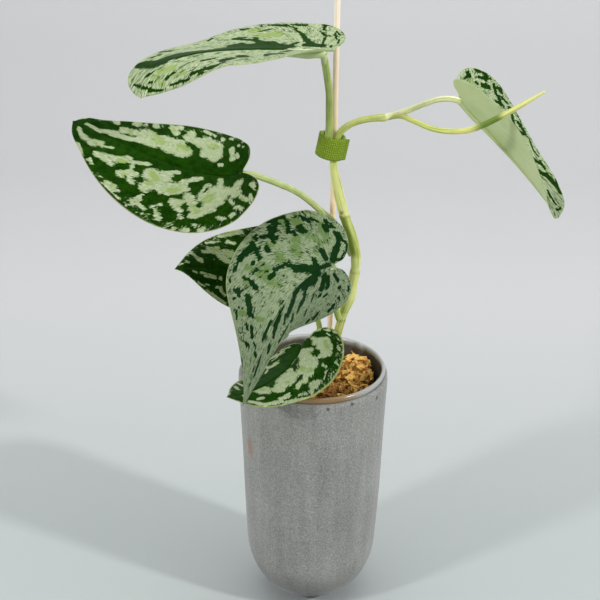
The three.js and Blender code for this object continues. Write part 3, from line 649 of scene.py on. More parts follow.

# The leaves and their stalks. A midrib is four Bezier points from stalk to tip, and up is its
# upper side at three places along it. Each half's fold, in degrees, and bend, in radians for
# a midrib's length, go from the first value at the stalk to the second at the tip, and drop is
# the curl of the lobes behind the stalk. The outlines of the two halves are in thousandths
# of the midrib, along it and out from it. sink is how far the rib stands below the blade.
# A program fitted the blades to edge points picked on the photograph and printed these values.
# Some outline points were changed after that.
LEAVES = {
    "top": dict(
        midrib=[(2, -19.7, 312.4), (-31.9, -18.5, 311.1), (-76.5, -29.6, 319.1), (-78.9, -48.5, 296.2)],
        up=[(-0.47, 0.07, 0.88), (-0.66, -0.02, 0.75), (-0.47, -0.37, 0.8)],
        fold=((7, -36), (9, 2)), bend=((0.4, 0.2), (1.1, 0)), drop=0.23,
        left=[
            (36, 12), (-20, 71), (-56, 121), (-66, 179), (-40, 243), (40, 303),
            (180, 335), (363, 325), (555, 280), (728, 217), (878, 148), (957, 82),
        ],
        right=[
            (-50, 12), (-63, 36), (-99, 114), (-102, 179), (-65, 242), (38, 299),
            (180, 347), (369, 346), (558, 286), (730, 221), (879, 149), (952, 72),
        ],
        stalk=[
            (4.3, -1.8, 257.5), (5.6, -2.3, 268), (5.5, -6, 281), (5.2, -9.5, 290), (3.8, -14, 300.5),
            (2.7, -17.8, 307.5), (2.1, -19.5, 311.6),
        ],
        radius=1.8, flare=1.3, tint=srgb(150, 166, 88),
    ),
    "left": dict(
        midrib=[(-36.1, -13.9, 251.5), (-56.6, -7.6, 240.4), (-100.6, -7.2, 266.6), (-121.4, 9.3, 268.9)],
        up=[(-0.15, -0.44, 0.89), (-0.24, -0.46, 0.85), (-0.18, -0.48, 0.86)],
        fold=((5, -11), (9, 3)), bend=((-0.8, -0.9), (-0.6, -0.7)), drop=0.23, sink=1.2,
        left=[
            (-10, 12), (-53, 47), (-104, 112), (-121, 182), (-85, 264), (26, 339),
            (181, 377), (374, 367), (568, 308), (732, 225), (868, 131), (958, 64),
        ],
        right=[
            (-3, 12), (-43, 68), (-50, 118), (-41, 156), (-18, 192), (51, 254),
            (179, 297), (351, 282), (531, 226), (694, 154), (840, 82), (955, 46),
        ],
        stalk=[
            (18.6, 0, 203.5), (13.8, 2, 213.1), (8.1, 3, 221), (4.2, 2.5, 224.4), (-2.9, 0, 231.8),
            (-10.5, -4, 238.7), (-18, -7.5, 243.3), (-25.3, -10.5, 247.2), (-31.1, -12.6, 249.6),
            (-35.6, -13.7, 250.7),
        ],
        radius=1.6, wave=0.7, tint=srgb(174, 188, 118),
    ),
    "back": dict(
        midrib=[(-18.9, 7.6, 197.5), (-45, 24.8, 180), (-57.9, -4.2, 199.5), (-69.9, -19.4, 202.2)],
        up=[(0.03, -0.79, 0.61), (-0.05, -0.83, 0.55), (0.32, -0.77, 0.54)],
        fold=((-6, -5), (-8, -4)), bend=((-0.5, -0.4), (-0.7, -0.3)), drop=0.3,
        left=[
            (-8, 12), (-54, 46), (-111, 107), (-129, 184), (-82, 261), (31, 323),
            (180, 346), (361, 319), (541, 247), (699, 163), (838, 80), (930, 30),
        ],
        right=[
            (-11, 12), (-55, 45), (-110, 108), (-125, 183), (-76, 255), (34, 312),
            (180, 334), (359, 312), (541, 246), (702, 169), (844, 91), (933, 37),
        ],
        stalk=[
            (2.5, 10, 118), (2.2, 12.5, 140), (2.6, 12, 158), (-0.5, 11.5, 166), (-6.2, 12, 176.8),
            (-11.6, 11.8, 187), (-16, 9.9, 194), (-18.6, 8.2, 197),
        ],
        radius=1.5, tint=srgb(150, 170, 84),
    ),
    "front": dict(
        midrib=[(8.8, -24.2, 207.3), (-12.6, -41.4, 208.8), (-21.4, -83.6, 202.2), (-33.9, -61.6, 149.1)],
        up=[(0.32, -0.5, 0.81), (-0.06, -0.94, 0.34), (-0.15, -0.98, 0.1)],
        fold=((-48, -68), (15, -57)), bend=((-1.8, -2.1), (-0.7, -1.4)), drop=0.15,
        left=[
            (-21, 12), (-65, 33), (-120, 102), (-136, 185), (-84, 264), (31, 320),
            (180, 339), (359, 312), (540, 245), (702, 169), (844, 89), (933, 36),
        ],
        right=[
            (-27, 12), (-73, 23), (-140, 91), (-156, 189), (-91, 273), (28, 330),
            (181, 363), (366, 337), (541, 247), (699, 164), (840, 82), (929, 28),
        ],
        stalk=[(12.9, -0.5, 167.9), (9.5, -6, 181), (8.6, -14, 194), (9.2, -19.5, 202), (8.9, -23.4, 206.4)],
        radius=1.6, sink=1.5, tint=srgb(160, 176, 92),
    ),
    "low": dict(
        midrib=[(-6.6, -5.1, 153.1), (-10.1, -21.2, 146.1), (-29.8, -41.1, 143), (-41.8, -59, 152.2)],
        up=[(-0.4, -0.5, 0.77), (-0.58, -0.68, 0.45), (-0.16, -0.25, 0.96)],
        fold=((17, -26), (-13, 12)), bend=((-1.6, -0.9), (0.5, -0.5)), drop=0.12,
        left=[
            (-9, 12), (-72, 24), (-147, 87), (-169, 191), (-110, 295), (15, 374),
            (181, 402), (370, 370), (552, 286), (713, 194), (852, 103), (936, 42),
        ],
        right=[
            (-30, 12), (-50, 35), (-65, 80), (-60, 135), (-30, 190), (35, 250),
            (150, 295), (330, 290), (520, 240), (700, 180), (849, 98), (934, 38),
        ],
        stalk=[(1, -1.5, 116), (0.6, -2, 134), (-1.8, -3, 146), (-6, -4.7, 152.2)],
        radius=1.4, margin=0.9, tint=srgb(146, 158, 92),
    ),
    "right": dict(
        midrib=[(68.6, -6.9, 286), (85.7, -10.8, 271.2), (109.1, -10.3, 245.2), (120.8, -3.3, 226.6)],
        up=[(0.38, -0.26, 0.89), (0.99, -0.14, 0.1), (0.8, -0.11, -0.59)],
        fold=((24, 25), (45, 25)), bend=((-0.2, -0.9), (0.2, -0.8)), drop=0.17,
        left=[
            (-25, 12), (-60, 39), (-110, 108), (-118, 182), (-77, 256), (32, 317),
            (180, 341), (360, 317), (544, 254), (712, 190), (860, 124), (962, 72),
        ],
        right=[
            (26, 12), (-49, 52), (-111, 107), (-133, 185), (-86, 267), (29, 327),
            (180, 343), (358, 308), (535, 234), (694, 154), (845, 82), (955, 45),
        ],
        stalk=[
            (32.6, -5, 277.3), (37.6, -5, 278.6), (44.2, -5.5, 281.3), (51.3, -6, 284.5), (58.4, -6.5, 286.9),
            (65.2, -6.8, 286.8), (68.3, -6.9, 285.6),
        ],
        radius=1.5, tint=srgb(216, 222, 164),
    ),
}


def stalk_flute(turn, t):
    channel = np.exp(-((np.angle(np.exp(1j * (turn - 1.57))) / 0.55) ** 2))
    return 0.985 - 0.16 * channel * smoothstep(0, 0.2, t) + 0.012 * np.sin(6 * turn)


def tinted(colour, gain):
    return (*(min(1.0, gain * value) for value in colour[:3]), 1.0)


stalk_ends = {}
for name, leaf in LEAVES.items():
    line = rounded(leaf["stalk"], STALK_STEPS)
    run = np.r_[0, np.cumsum(np.linalg.norm(np.diff(line, axis=0), axis=1))]
    body = line[run <= run[-1] - STALK_TUCK]
    stalk_ends[name] = line[run >= run[-1] - RIB_LEAD]
    step = max(1, len(body) // STALK_RINGS)
    body = np.vstack([body[:-1:step], body[-1:]])
    radius = leaf["radius"]
    tint = leaf["tint"]
    skin = plant_skin(f"stalk_skin_{name}", tint, tinted(tint, 1.45), tinted(tint, 0.55))
    rings, faces = tube(body, [radius * 1.15, radius, radius], STALK_SIDES, stalk_flute)
    stalk = mesh_of(f"stalk_{name}", rings, faces, skin)
    marked(stalk, STALK_SIDES, run[-1])
    seated(stalk, f"petiole_{name}")


# Leaves: thick heart-shaped blades, dark green and silver in streaks that follow the veins,
# pale beneath, each with a rib under it that carries on its stalk.
HALVES = ("left", "right")
EDGE_STEPS = 132
VEIN_STEPS = 54
OUTLINE_STEPS = 241
MIDRIB_STEPS = 401
FAN_SHARE = 0.3
VEIN_CROWDING = 1.35
VEIN_BOW = 0.28
BLADE_HALF = 0.3
EDGE_THINNING = 0.75
MARGIN_START = 0.965
WAVE_RISE = 0.5
GROOVE_DEPTH = 0.5
GROOVE_WIDTH = 0.012
WELD = 0.004
RIB_STEPS = 120
RIB_SIDES = 14
RIB_SPOTS = (0.1, 0.25, 0.45, 0.65, 0.85)

# How far each leaf's greens are cooled and darkened, from 0 to 1: partly the leaf's own
# cooler colour, partly painted shade. Its tone between its marks goes from -1, dark, to 1,
# silver. A dark leaf is a little more silver near its edge.
COOLNESS_AND_SHADE = {"top": 0.1, "left": 0.1, "back": 0.0, "front": 1.0, "low": 0.4, "right": 0.2}
GROUND = {"top": 0.5, "left": -0.7, "back": -0.6, "front": 0.42, "low": -0.62, "right": 0.5}
EDGE_SILVER = 0.22
SILVER_STROKE = 0.95
DARK_STROKE = -1.15
DARK_NARROWED = 0.85
LEAF_DARK = srgb(31, 67, 4)
LEAF_DEEP = srgb(2, 38, 0)
LEAF_DULL = srgb(98, 126, 76)
LEAF_SILVER = srgb(162, 176, 138)
LEAF_PEARL = srgb(205, 212, 182)
LEAF_FRESH = srgb(90, 118, 54)
LEAF_LUSH = srgb(138, 162, 82)
LEAF_COOL_SHADE = srgb(12, 44, 20)
LEAF_FROST_SHADE = srgb(108, 124, 98)
LEAF_UNDER = srgb(200, 211, 158)
LEAF_VEINED = srgb(174, 191, 126)
LEAF_BLOOM = srgb(220, 228, 194)
LEAF_MARGIN = srgb(176, 190, 122)

# Marks by leaf and half: first the strokes laid in order over the leaf's ground, silver where
# the ground is dark and dark where it is silver, then the fresh green ones within the silver.
# Each is u and v of both ends in hundredths (u along the edge from the stalk, v out from the
# midrib) and its half width in thousandths of the midrib. Most strokes were picked on
# the photograph, and a program turned them into these numbers.
MARKS = {
    ("top", "left"): ("""
        95 22 94 33 7, 97 0 95 72 9, 96 72 92 90 7, 89 60 88 57 6, 88 54 85 51 6, 88 85 84 86 7,
        83 86 78 92 8, 78 79 77 86 5, 77 78 73 83 14, 73 91 71 92 9, 71 83 68 88 17, 69 81 66 88 15,
        66 83 64 80 11, 66 65 64 58 25, 62 45 60 48 24, 53 45 51 57 12, 52 42 47 44 24, 48 22 47 10 18,
        76 43 71 45 8
    """, """
        90 21 86 28 22, 85 59 81 66 15, 92 34 91 65 18
    """),
    ("top", "right"): ("""
        85 78 88 29 30, 87 33 80 18 46, 81 22 70 2 41, 69 7 62 12 46, 64 17 52 14 57, 53 6 47 13 32,
        47 16 42 26 11, 65 31 61 35 18, 55 46 54 32 16, 55 32 51 30 19, 58 64 56 49 14, 53 53 53 50 10,
        61 88 60 90 9, 36 73 36 57 5, 36 56 37 32 11, 37 33 36 22 16, 39 18 29 15 24, 48 73 43 78 5,
        41 92 38 84 8, 37 90 35 75 6, 35 90 30 88 8, 43 99 44 91 5, 23 98 23 77 6, 24 65 21 57 7,
        22 49 26 23 6, 17 88 14 85 5, 17 80 12 70 5, 21 98 23 96 8, 19 62 18 61 5, 11 78 7 79 5,
        7 51 4 54 7, 83 100 85 75 11, 84 96 88 68 4, 93 19 92 0 10, 94 76 97 0 7, 81 85 80 72 7,
        75 99 76 74 9, 50 92 48 88 4
    """, """
        49 78 47 81 23, 51 57 45 58 28, 43 66 43 56 15
    """),
    ("left", "left"): ("""
        68 32 63 24 31, 64 18 61 10 12, 65 53 63 39 29, 61 44 56 31 30, 58 46 56 38 17, 57 22 52 9 13,
        54 34 53 30 9, 84 65 81 52 15, 81 56 77 27 19, 76 30 71 16 10, 79 62 78 55 9, 74 61 71 44 17,
        71 56 69 59 15, 74 34 73 44 11, 96 43 93 60 10, 92 58 91 55 14, 89 54 87 31 17, 86 40 83 22 6,
        90 95 86 96 8, 83 87 81 91 10, 76 91 76 90 4, 72 90 70 88 18, 70 94 65 94 4, 68 87 68 86 7,
        62 84 62 77 18, 63 71 63 68 7, 61 83 58 84 9, 57 76 56 66 8, 55 78 52 88 13, 54 56 52 55 19,
        52 61 49 66 13, 48 73 47 76 12, 51 42 48 50 21, 46 59 43 67 19, 45 70 43 72 11, 44 8 41 22 13,
        43 26 38 31 35, 46 38 42 35 25, 42 48 39 44 33, 43 62 40 58 23, 48 36 48 23 7, 48 20 47 19 13,
        30 21 33 31 24, 31 40 28 42 22, 24 57 21 81 13, 33 47 30 60 8, 28 70 24 87 12, 13 70 14 83 13,
        18 81 19 92 10, 29 81 29 83 12, 35 75 32 83 9, 41 85 40 87 8, 38 94 37 96 9, 42 96 41 96 12,
        45 96 45 97 9, 48 97 48 97 5
    """, """
        67 29 65 34 19, 66 45 65 44 18, 58 42 56 34 18, 78 40 77 35 15, 73 58 72 57 13, 88 40 88 39 12,
        44 42 43 37 22, 47 54 44 63 13, 51 59 51 62 9, 55 77 54 79 13, 62 78 61 80 8, 71 86 71 86 12,
        23 65 23 71 14
    """),
    ("left", "right"): ("""
        95 31 90 13 9, 97 100 94 96 4, 89 26 84 42 11, 86 26 80 33 13, 80 33 75 40 13, 81 63 76 62 17,
        73 65 70 58 28, 76 42 70 40 19, 70 50 66 47 33, 65 59 59 54 24, 65 39 58 38 31, 62 27 60 26 11,
        55 70 49 65 21, 51 82 51 80 19, 50 61 48 57 21, 46 68 41 61 34, 49 42 43 42 29, 47 32 46 31 19,
        58 91 58 80 17, 55 94 54 94 14, 65 95 65 93 18, 74 93 73 92 16, 69 94 69 94 9, 82 95 81 89 11,
        43 93 41 88 10, 39 87 39 86 10, 36 80 36 79 12, 33 55 35 32 18, 30 87 29 87 11, 24 72 23 71 10,
        17 78 17 78 7, 30 42 30 34 10, 44 20 43 19 10
    """, """
        69 59 67 49 23, 60 48 57 45 19, 78 63 78 62 13, 44 60 43 59 21, 58 87 58 86 10
    """),
    ("back", "left"): ("""
        89 35 86 37 7, 84 31 82 30 9, 81 36 75 32 15, 74 34 74 34 11, 71 31 70 33 11, 71 64 68 59 10,
        68 66 64 75 11, 71 92 61 96 10, 83 91 78 86 6, 76 96 71 94 7, 78 74 76 70 5
    """, """
        78 33 77 33 11, 68 60 68 60 9
    """),
    ("back", "right"): ("""
        58 94 50 91 14, 51 96 48 93 17, 61 97 58 92 8, 69 91 62 81 7, 58 73 56 65 13, 71 66 67 58 25,
        76 69 73 62 14, 69 69 65 64 10, 68 45 67 30 26, 64 46 61 37 27, 68 34 65 19 20, 83 48 81 37 18,
        83 84 83 69 14, 91 66 90 45 10, 96 86 94 67 6, 86 98 83 90 6, 73 30 73 30 4
    """, """
        69 65 67 58 15, 64 43 61 36 19, 54 96 51 94 14
    """),
    ("front", "left"): ("""
        50 1 43 2 22, 51 5 58 0 11, 45 9 53 8 22, 58 0 60 14 18, 60 14 64 26 23, 51 14 52 35 14,
        38 11 39 25 22, 35 13 34 27 13, 24 13 16 36 10, 53 30 54 43 18, 66 3 73 0 7, 69 7 74 16 13,
        66 20 67 35 11, 72 3 75 28 8, 78 25 80 39 11, 83 7 89 17 8, 34 72 34 85 12, 37 83 37 89 13,
        24 75 26 85 10, 64 54 73 68 13, 59 43 59 51 19, 39 37 38 35 9, 35 41 33 39 7, 18 49 17 52 8,
        12 86 14 88 6, 20 67 20 80 5, 56 7 58 7 9, 44 28 44 41 8, 45 54 44 65 8
    """, ""),
    ("front", "right"): ("""
        35 2 43 1 18, 19 11 14 47 19, 13 47 15 72 15, 18 72 15 72 14, 43 1 50 17 24, 50 17 51 31 9,
        51 31 49 29 6, 52 31 54 37 10, 56 35 57 37 14, 9 27 3 100 8, 34 23 34 11 14, 41 14 41 7 10,
        41 15 43 7 7, 37 96 39 83 10, 38 96 36 95 9, 39 84 41 74 7, 35 97 36 81 8, 36 81 39 63 6,
        38 61 38 55 8, 35 67 35 58 13, 34 69 35 62 9, 32 87 31 74 6, 33 90 33 87 4, 30 79 27 75 7,
        23 85 22 75 12, 24 71 23 64 14, 22 76 19 81 8, 22 85 18 83 5, 16 80 14 77 10, 13 80 11 89 8,
        10 93 6 98 7, 7 85 5 72 5, 6 100 4 100 4, 40 87 43 68 10, 42 77 43 64 8, 44 67 45 60 6,
        44 82 43 73 8, 44 89 45 83 6, 47 65 48 59 11, 46 86 48 76 7, 48 84 48 76 10, 49 79 48 71 8,
        49 86 51 86 13, 51 88 54 87 6, 50 87 49 80 12, 53 90 54 91 4, 49 72 51 62 8, 53 69 53 65 5,
        52 67 53 69 4, 55 57 55 48 5, 55 47 56 37 4, 56 94 57 92 5, 57 73 58 63 7, 58 65 59 58 4,
        59 59 61 50 11, 60 85 61 77 8, 60 80 62 78 9, 62 89 62 86 5, 63 62 66 58 12, 65 59 69 54 14,
        69 56 70 47 10, 67 84 70 87 6, 66 79 67 67 4, 73 59 74 57 8, 74 45 77 40 10, 79 61 80 47 7,
        79 55 80 57 7, 79 30 80 22 6, 82 17 83 11 7, 72 5 77 8 7, 76 5 78 6 6
    """, """
        36 86 39 67 9, 35 75 36 57 8, 39 49 44 27 12, 33 46 32 34 16, 46 69 46 60 10, 48 43 50 33 11,
        54 73 55 54 11, 57 45 59 36 11, 59 36 59 19 9, 59 70 60 59 9, 45 89 46 87 7, 31 95 27 90 5,
        69 68 69 63 9, 71 40 72 29 8, 37 25 37 19 10, 36 46 33 54 7, 34 82 35 56 16, 26 69 24 45 26,
        41 47 44 31 20, 48 48 50 37 17, 53 59 54 45 14, 54 68 56 58 12, 56 54 59 23 19, 71 37 72 18 12,
        68 77 69 61 12, 57 72 58 65 8, 32 95 33 79 9, 37 89 38 73 10
    """),
    ("low", "left"): ("""
        38 5 38 24 24, 42 9 46 37 36, 49 24 48 41 43, 54 33 53 46 40, 56 49 58 57 19, 60 52 63 62 16,
        26 38 30 57 32, 34 41 36 62 25, 38 49 38 67 16, 41 48 40 55 20, 16 48 18 45 17, 30 63 34 66 13,
        57 8 59 17 22, 62 12 60 27 38, 66 18 64 34 43, 70 28 68 37 32, 73 38 70 45 26, 81 10 77 19 34,
        80 27 77 33 23, 79 0 79 0 18, 56 74 53 79 21, 57 80 55 85 15, 58 87 58 90 15, 60 100 64 96 9,
        64 85 61 87 12, 73 75 69 77 15, 73 85 79 86 15, 84 55 81 54 11, 88 72 80 90 14, 66 93 71 92 13,
        9 98 9 73 13, 10 94 14 91 11, 17 88 21 89 8, 23 94 24 92 9, 28 90 30 89 8, 34 84 35 86 6,
        41 83 41 92 7, 4 96 7 100 4, 21 78 25 76 5, 45 60 45 63 7, 46 75 48 76 6, 48 78 50 82 5,
        45 68 45 70 7, 70 70 68 69 8, 90 0 90 32 11
    """, """
        53 31 52 45 27, 31 56 36 60 17, 65 32 65 35 15, 58 11 58 13 7, 79 12 78 13 16
    """),
    ("low", "right"): ("""
        22 84 36 90 8, 18 68 32 76 6, 40 86 50 92 7, 30 62 38 68 5, 45 45 50 58 18, 58 52 53 55 8,
        20 73 29 70 11, 12 68 16 88 6, 24 52 30 58 5, 46 66 52 74 7, 60 62 66 70 6, 70 40 74 56 6,
        60 84 66 90 8, 40 46 44 56 5, 81 84 85 62 14, 73 91 78 67 12, 93 88 97 87 7
    """, ""),
    ("right", "left"): ("""
        14 74 16 76 9, 17 84 18 77 15, 21 95 23 92 13, 26 93 28 87 17, 24 75 28 79 11, 31 59 34 66 19,
        24 58 27 55 10, 29 76 29 76 10, 4 100 3 100 4, 30 89 30 89 10, 34 82 39 70 15, 36 86 39 87 12,
        37 90 38 89 15, 43 57 46 68 10, 41 70 45 64 16, 42 78 45 83 10, 47 79 48 89 9, 51 77 56 66 14,
        56 65 59 67 15, 55 83 59 86 14, 60 66 61 84 12, 52 94 56 90 5, 53 60 53 62 6, 64 87 68 82 9,
        69 80 72 83 7, 72 57 74 61 10, 74 62 76 75 11, 75 78 78 80 13, 79 47 82 71 15, 81 70 85 81 16,
        84 80 89 90 12, 83 96 86 91 7, 88 33 91 29 8, 92 30 94 37 6, 96 34 96 67 8
    """, """
        15 44 21 56 12
    """),
}
# The right leaf's far half is hidden, and is marked as the near half is.
MARKS["right", "right"] = MARKS["right", "left"]

blade = Finish("marbled_blade", roughness=0.45, Specular_IOR_Level=0.02)
at = blade.place()
flow = blade.uv("streaks")
ground_tone = blade.read("tone")
cool_and_shade = blade.read("cool_and_shade")
outward = blade.spread(blade.read("out"), 0.25, 0.75)
blotch_in = blade.noise(at, 300, detail=4, rough=0.62, warp=0.3)
blotch_out = blade.noise(blade.stretched(flow, (0.27, 0.16, 1)), 1.0, detail=4, rough=0.62, warp=0.3)
fine_in = blade.noise(blade.stretched(flow, (1.15, 0.42, 1)), 1.0, rough=0.6)
fine_out = blade.noise(blade.stretched(flow, (1.9, 0.5, 1)), 1.0, rough=0.6)
fine = blade.between(outward, fine_in, fine_out)
speck = blade.noise(at, 1100, rough=0.7)
long_streak = blade.noise(blade.stretched(flow, (0.9, 0.045, 1)), 1.0, detail=2, rough=0.5)
ragged = 0.0
for texture, gain in ((blade.between(outward, blotch_in, blotch_out), 3.2), (fine, 3.2), (speck, 1.2)):
    ragged = blade.scaled(blade.math("SUBTRACT", texture, 0.5), gain, ragged)
long_streak = blade.math("MULTIPLY", blade.math("SUBTRACT", long_streak, 0.5), outward)
ragged = blade.scaled(long_streak, 1.2, ragged)
calm = blade.spread(ground_tone, -0.75, -0.25, 0.3, 1.6)
calm = blade.math("MULTIPLY", calm, blade.spread(ground_tone, 0.1, 0.42, 1, 0.62))
silver = blade.scaled(ragged, calm, ground_tone)
mask = blade.spread(silver, -0.12, 0.14)
fresh = blade.scaled(blade.math("SUBTRACT", blotch_out, 0.5), 3.6, blade.read("fresh"))
lit = blade.blend(blade.spread(silver, 0.0, 0.7), LEAF_DULL, LEAF_SILVER)
lit = blade.blend(blade.spread(fine, 0.48, 0.66, 0, 0.8), lit, LEAF_PEARL)
# Painted shade and cooler colour: the silver is painted greyer and darker on cooler leaves.
lit = blade.blend(blade.scaled(cool_and_shade, 0.6), lit, LEAF_FROST_SHADE)
lit = blade.blend(blade.spread(fresh, 0.1, 1.2, 0, 0.8), lit, blade.blend(cool_and_shade, LEAF_LUSH, LEAF_FRESH))
lit = blade.blend(blade.spread(speck, 0.55, 0.75, 0, 0.45), lit, LEAF_FRESH)
dim = blade.blend(blade.spread(blotch_in, 0.2, 0.85), LEAF_DARK, LEAF_DEEP)
# Painted shade and cooler colour: the dark green is painted darker and bluer on the coolest leaf.
dim = blade.blend(blade.scaled(blade.math("POWER", cool_and_shade, 3), 0.7), dim, LEAF_COOL_SHADE)
margin = blade.scaled(blade.spread(blade.read("edge"), 0.35, 0.9), 0.6)
blade.colour(blade.blend(margin, blade.blend(mask, dim, lit), LEAF_MARGIN))
blade.roughness(blade.spread(mask, 0, 1, 0.42, 0.55))
blade.relief(blade.math("MULTIPLY", fine, outward), 0.1, 0.0004)
blade.relief(speck, 0.1, 0.0003)

under = Finish("blade_underside", roughness=0.55, Subsurface_Weight=0.1)
under.shader.inputs["Subsurface Radius"].default_value = (0.5, 0.9, 0.25)
under.shader.inputs["Subsurface Scale"].default_value = 0.002
veins = under.noise(under.stretched(under.uv("streaks"), (1.3, 0.06, 1)), 1.0)
soft = under.spread(under.noise(under.place(), 60), 0.3, 0.7, 0, 0.5)
tint = under.blend(soft, LEAF_UNDER, LEAF_VEINED)
under.colour(under.blend(under.spread(veins, 0.5, 0.75, 0, 0.4), tint, LEAF_BLOOM))
under.relief(veins, 0.2, 0.0005)


def unit(vectors):
    return vectors / np.linalg.norm(vectors, axis=-1, keepdims=True)


def midrib_frame(leaf, x):
    """Midrib point, direction, upper normal and left side at x, and the midrib's length."""
    a, b, c, d = (np.asarray(p, float) for p in leaf["midrib"])
    t = np.linspace(0, 1, MIDRIB_STEPS)[:, None]
    curve = (1 - t) ** 3 * a + 3 * t * (1 - t) ** 2 * b + 3 * t**2 * (1 - t) * c + t**3 * d
    run = np.r_[0, np.cumsum(np.linalg.norm(np.diff(curve, axis=0), axis=1))]
    length = run[-1]
    ways = unit(np.gradient(curve, axis=0))
    held = np.clip(x, 0, 1)
    spot = np.stack([np.interp(held * length, run, curve[:, k]) for k in range(3)], -1)
    along = unit(np.stack([np.interp(held * length, run, ways[:, k]) for k in range(3)], -1))
    ups = np.asarray(leaf["up"], float)
    k = np.minimum((held * 2).astype(int), 1)
    share = smoothstep(0, 1, held * 2 - k)[..., None]
    up = ups[k] * (1 - share) + ups[k + 1] * share
    up = unit(up - (up * along).sum(-1, keepdims=True) * along)
    # Behind the stalk the lobes curl down on a round bend.
    turn = (np.clip(-x, 0, None) * leaf["drop"])[..., None]
    spot = spot - (along * np.sin(turn) + up * (1 - np.cos(turn))) * length / leaf["drop"]
    ahead = along * np.cos(turn) + up * np.sin(turn)
    upper = up * np.cos(turn) - along * np.sin(turn)
    return spot, ahead, upper, np.cross(upper, ahead), length


def blade_point(leaf, half, x, y):
    """Place of a flat point of the blade after folding and bending, and its normal."""
    spot, along, up, side, length = midrib_frame(leaf, x)
    if half == 1:
        side = -side
    held = np.clip(x, 0, 1)
    fold = np.radians(leaf["fold"][half][0] * (1 - held) + leaf["fold"][half][1] * held)
    bend = leaf["bend"][half][0] * (1 - held) + leaf["bend"][half][1] * held
    bend = np.where(np.abs(bend) < 1e-6, 1e-6, bend)
    across = (np.sin(fold + bend * y) - np.sin(fold)) / bend * length
    rise = (np.cos(fold) - np.cos(fold + bend * y)) / bend * length
    tilt = (fold + bend * y)[..., None]
    normal = up * np.cos(tilt) - side * np.sin(tilt)
    return spot + side * across[..., None] + up * rise[..., None], normal


def outline_at(outline, u):
    edge = rounded([*(np.array(outline) / 1000), (1, 0)], OUTLINE_STEPS)
    stations = np.linspace(0, 1, len(edge))
    return np.interp(u, stations, edge[:, 0]), np.interp(u, stations, edge[:, 1])


def vein_point(outline, u, v):
    """Flat point on the vein that ends at u along the edge, v of the way out."""
    edge_x, edge_y = outline_at(outline, u)
    start = np.clip((u - FAN_SHARE) / (1 - FAN_SHARE), 0, 1) ** VEIN_CROWDING
    bow_x = start + VEIN_BOW * (edge_x - start)
    x = (1 - v) ** 2 * start + 2 * v * (1 - v) * bow_x + v**2 * edge_x
    y = 1.2 * v * (1 - v) * edge_y + v**2 * edge_y
    return x, y


def streak_shape(outline, w):
    """Start on the midrib, bow point and end on the edge of the streaks w."""
    edge_x, edge_y = outline_at(outline, w)
    t = np.clip((edge_x - 0.1) / 0.9, 0, 1)
    start = np.where(w < FAN_SHARE, 0, 0.25 * t**2 + 0.75 * t**12)
    share = np.clip((w - FAN_SHARE) / (1 - FAN_SHARE), 0, 1)
    bow = start + (VEIN_BOW + VEIN_BOW / 2 * share) * (edge_x - start)
    return start, bow, (0.6 - 0.1 * share), edge_x, edge_y


def streak_place(outline, x, y):
    """Which streak a flat point is on, and how far out along it. Streaks leave the midrib
    at a flatter angle than the veins of the mesh, and run beside the edge to the tip."""
    low = np.zeros_like(x)
    high = np.ones_like(x)
    for _ in range(24):
        w = (low + high) / 2
        start, bow, lift, edge_x, edge_y = streak_shape(outline, w)
        c = np.clip(y / np.maximum(edge_y, 1e-6), 0, 1)
        s = c / (lift + np.sqrt(lift**2 + (1 - 2 * lift) * c))
        there = (1 - s) ** 2 * start + 2 * s * (1 - s) * bow + s**2 * edge_x
        there = np.where(y > edge_y + 1e-9, np.where(edge_x < 0.2, -9, 9), there)
        ahead = x > there
        low = np.where(ahead, w, low)
        high = np.where(ahead, high, w)
    return w, s


def streak_run(outline, w, s):
    """Length of the streak from its start to s, as a fraction of the midrib."""
    start, bow, lift, edge_x, edge_y = streak_shape(outline, w)
    total = np.zeros_like(s)
    last_x, last_y = start, np.zeros_like(s)
    for k in range(1, 9):
        t = s * k / 8
        x = (1 - t) ** 2 * start + 2 * t * (1 - t) * bow + t**2 * edge_x
        y = 2 * t * (1 - t) * lift * edge_y + t**2 * edge_y
        total += np.hypot(x - last_x, y - last_y)
        last_x, last_y = x, y
    return total


def listed(strokes):
    """The numbers of each stroke in a text of strokes."""
    return [[float(number) for number in stroke.split()] for stroke in strokes.split(",") if stroke.strip()]


def stroke_cover(stroke, outline, x, y, width=1.0):
    """How far a stroke covers each flat point, soft at its rim."""
    ua, va, ub, vb, half_wide = stroke
    ax, ay = vein_point(outline, ua / 100, va / 100)
    bx, by = vein_point(outline, ub / 100, vb / 100)
    run = max((bx - ax) ** 2 + (by - ay) ** 2, 1e-9)
    share = np.clip(((x - ax) * (bx - ax) + (y - ay) * (by - ay)) / run, 0, 1)
    away = np.hypot(x - ax - share * (bx - ax), y - ay - share * (by - ay))
    return 1 - smoothstep(0.5, 1.6, away / (half_wide * width / 1000))


def painted(name, half, outline, x, y, v):
    """The tone and fresh fields of one half: strokes laid over the leaf's ground."""
    pale = GROUND[name] > 0
    tone = GROUND[name] + (0 if pale else EDGE_SILVER) * smoothstep(0.72, 0.95, v)
    level, width = (DARK_STROKE, DARK_NARROWED) if pale else (SILVER_STROKE, 1.0)
    streaks, greens = MARKS[name, half]
    for stroke in listed(streaks):
        tone += (level - tone) * stroke_cover(stroke, outline, x, y, width)
    fresh = np.zeros(x.shape)
    for stroke in listed(greens):
        fresh = np.maximum(fresh, stroke_cover(stroke, outline, x, y))
    return tone, fresh


